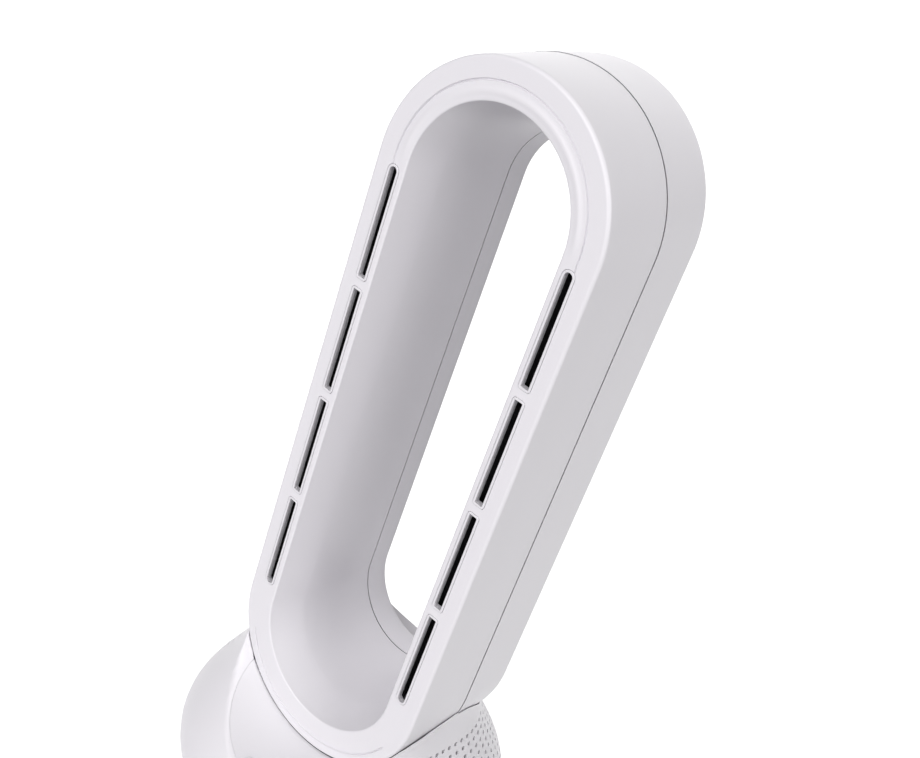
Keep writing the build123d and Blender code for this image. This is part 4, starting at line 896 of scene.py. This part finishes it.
def rod(reach, turn, radius):
    """A round cutter that stands square to the deck."""
    slope = atan2(DECK_RISE / DECK_DECAY * exp(-reach / DECK_DECAY), 1.0)
    normal = Vector((-cos(slope) * sin(turn), -sin(slope), cos(slope) * cos(turn)))
    right = Vector((cos(turn), 0, sin(turn)))
    ahead = normal.cross(right)
    centre = deck_point(reach, turn)
    spots = [2 * pi * i / ROD_SIDES for i in range(ROD_SIDES)]
    round_it = [(right * cos(t) + ahead * sin(t)) * radius for t in spots]
    points = [(centre + normal * lift + spot) * MM for lift in (ROD_LOW, ROD_HIGH) for spot in round_it]
    faces = [tuple(range(ROD_SIDES - 1, -1, -1)), tuple(range(ROD_SIDES, 2 * ROD_SIDES))]
    for i in range(ROD_SIDES):
        j = (i + 1) % ROD_SIDES
        faces.append((i, j, j + ROD_SIDES, i + ROD_SIDES))
    mesh = bpy.data.meshes.new("cutter")
    mesh.from_pydata([tuple(p) for p in points], [], faces)
    made = bpy.data.objects.new("cutter", mesh)
    scene.collection.objects.link(made)
    return made


button_turns = [radians(BUTTON_TURN) * k for k in (-1, 0, 1)]
button_rods = [rod(BUTTON_REACH, turn, BUTTON_HOLE) for turn in button_turns]
cut_away(panel, button_rods + [rod(LENS_REACH, 0.0, LENS_HOLE)])


# ---- Saddle behind the loop's opening ----
def in_bell(point):
    """True where a point lies inside the body's form."""
    share = (BELL_TOP_Z - point.z) / (BELL_TOP_Z - EQUATOR_Z)
    for _ in range(6):
        half_x, half_y, shift, tilt, square = bell_section(min(share, 1.0))
        level = point.z - tilt * (point.y - shift)
        share = (BELL_TOP_Z - level) / (BELL_TOP_Z - EQUATOR_Z)
    half_x, half_y, shift, tilt, square = bell_section(min(share, 1.0))
    return (abs(point.x) / half_x) ** square + (abs(point.y - shift) / half_y) ** square < 1


def saddle_point(turn, y, out=0.0):
    return Vector(((NOTCH_RADIUS + out) * sin(turn), y, LOW_Z - (NOTCH_RADIUS + out) * cos(turn)))


def saddle_end(turn):
    """How far back the saddle runs at a turn, to the body's outside or its top arch."""
    low, high = SADDLE_Y, BELL_RADIUS
    for _ in range(26):
        middle = (low + high) / 2
        place = saddle_point(turn, middle)
        under = place.z < ARCH_Z + sqrt(ARCH_RADIUS ** 2 - (middle - ARCH_Y) ** 2)
        if under and in_bell(place):
            low = middle
        else:
            high = middle
    return low


SADDLE_Y = FACE_Y + LOOP_DEPTH + FIT_GAP
SADDLE_WALL = 3.0
SADDLE_COLUMNS = 72
SADDLE_ROWS = 10
SADDLE_LEAST = 0.05
SADDLE_TIP = 0.998              # keeps the outermost columns from shrinking to nothing
low_turn, high_turn = 0.0, radians(89.0)
for _ in range(30):
    middle = (low_turn + high_turn) / 2
    if saddle_end(middle) > SADDLE_Y + SADDLE_LEAST:
        low_turn = middle
    else:
        high_turn = middle
saddle_top = []
saddle_under = []
saddle_faces = []
for c in range(SADDLE_COLUMNS + 1):
    turn = low_turn * SADDLE_TIP * (2 * c / SADDLE_COLUMNS - 1)
    end = saddle_end(turn)
    for r in range(SADDLE_ROWS + 1):
        y = mix(SADDLE_Y, end, r / SADDLE_ROWS)
        saddle_top.append(tuple(saddle_point(turn, y)))
        saddle_under.append(tuple(saddle_point(turn, y, SADDLE_WALL)))
for c in range(SADDLE_COLUMNS):
    for r in range(SADDLE_ROWS):
        a = c * (SADDLE_ROWS + 1) + r
        b = a + SADDLE_ROWS + 1
        saddle_faces.append((a, b, b + 1, a + 1))
points, faces = thicken(saddle_top, saddle_under, saddle_faces)
piece("saddle_skin", points, faces, "white_shell", "head", ["body_shell"])


# ---- Lights, floor and camera ----
LAMP_PLACE = (0, 0, 2)


def lamp(name, kind, energy, colour, toward, **facts):
    light = bpy.data.lights.new(name, kind)
    light.energy = energy
    light.color = colour
    for key, value in facts.items():
        setattr(light, key, value)
    holder = bpy.data.objects.new(name, light)
    scene.collection.objects.link(holder)
    holder.location = LAMP_PLACE
    holder.rotation_mode = "QUATERNION"
    holder.rotation_quaternion = Vector(toward).to_track_quat("-Z", "Y")
    return holder


lamp("key_sun", "SUN", 2.15, (1.0, 0.985, 1.0), (-0.03, 0.87, -0.36), angle=radians(50))
lamp("side_sun", "SUN", 1.0, (1.0, 0.99, 0.985), (-0.88, 0.25, -0.37), angle=radians(30))
lamp("back_sun", "SUN", 0.9, (1.0, 0.99, 1.0), (0.35, -0.9, -0.15), angle=radians(60))

world = bpy.data.worlds.new("studio")
scene.world = world
world.use_nodes = True
nodes = world.node_tree.nodes
links = world.node_tree.links
around = nodes["Background"]
around.inputs["Color"].default_value = (0.985, 0.985, 1.0, 1)
around.inputs["Strength"].default_value = 0.26
seen = nodes.new("ShaderNodeBackground")
seen.inputs["Color"].default_value = (1, 1, 1, 1)
seen.inputs["Strength"].default_value = 1.0
path = nodes.new("ShaderNodeLightPath")
straight = nodes.new("ShaderNodeMath")
straight.operation = "MAXIMUM"
links.new(path.outputs["Is Camera Ray"], straight.inputs[0])
links.new(path.outputs["Is Glossy Ray"], straight.inputs[1])
either = nodes.new("ShaderNodeMixShader")
links.new(straight.outputs["Value"], either.inputs["Fac"])
links.new(around.outputs["Background"], either.inputs[1])
links.new(seen.outputs["Background"], either.inputs[2])
links.new(either.outputs["Shader"], nodes["World Output"].inputs["Surface"])

FLOOR_RADIUS = 15.0
FLOOR_GLOW = 0.8               # seen straight on, so that the ground is as pale as in the picture
floor_mesh = bpy.data.meshes.new("floor")
ring = [(FLOOR_RADIUS * cos(2 * pi * i / 96), FLOOR_RADIUS * sin(2 * pi * i / 96), 0) for i in range(96)]
floor_mesh.from_pydata(ring, [], [tuple(range(96))])
floor = bpy.data.objects.new("floor", floor_mesh)
scene.collection.objects.link(floor)
paint = bpy.data.materials.new("floor")
paint.use_nodes = True
nodes = paint.node_tree.nodes
links = paint.node_tree.links
surface = nodes["Principled BSDF"]
surface.inputs["Roughness"].default_value = 0.9
surface.inputs["Specular IOR Level"].default_value = 0.0
path = nodes.new("ShaderNodeLightPath")
either = nodes.new("ShaderNodeMath")
either.operation = "MAXIMUM"
links.new(path.outputs["Is Camera Ray"], either.inputs[0])
links.new(path.outputs["Is Glossy Ray"], either.inputs[1])
tone = nodes.new("ShaderNodeMix")
tone.data_type = "RGBA"
tone.inputs["A"].default_value = (0.36, 0.36, 0.37, 1)
tone.inputs["B"].default_value = (0.93, 0.93, 0.93, 1)
links.new(either.outputs["Value"], tone.inputs["Factor"])
links.new(tone.outputs["Result"], surface.inputs["Base Color"])
surface.inputs["Emission Color"].default_value = (1, 1, 1, 1)
glow = nodes.new("ShaderNodeMath")
glow.operation = "MULTIPLY"
glow.inputs[1].default_value = FLOOR_GLOW
links.new(either.outputs["Value"], glow.inputs[0])
links.new(glow.outputs["Value"], surface.inputs["Emission Strength"])
floor_mesh.materials.append(paint)

IMAGE_WIDTH = 920
FOCAL = 1175.57
PRINCIPAL = (419.62, 381.54)
IMAGE_CENTRE = (460.0, 379.0)
turn = Vector((1.8533, 0.8997, -0.1479))
axes = Matrix.Rotation(turn.length, 3, turn.normalized())
camera_data = bpy.data.cameras.new("camera")
camera = bpy.data.objects.new("camera", camera_data)
scene.collection.objects.link(camera)
scene.camera = camera
camera_data.sensor_fit = "HORIZONTAL"
camera_data.sensor_width = 36.0
camera_data.lens = 36.0 * FOCAL / IMAGE_WIDTH
camera_data.shift_x = (IMAGE_CENTRE[0] - PRINCIPAL[0]) / IMAGE_WIDTH
camera_data.shift_y = (PRINCIPAL[1] - IMAGE_CENTRE[1]) / IMAGE_WIDTH
pose = Matrix((axes[0], -axes[1], -axes[2])).transposed().to_4x4()
pose.translation = Vector((371.6, -652.8, 818.0)) * MM
camera.matrix_world = pose
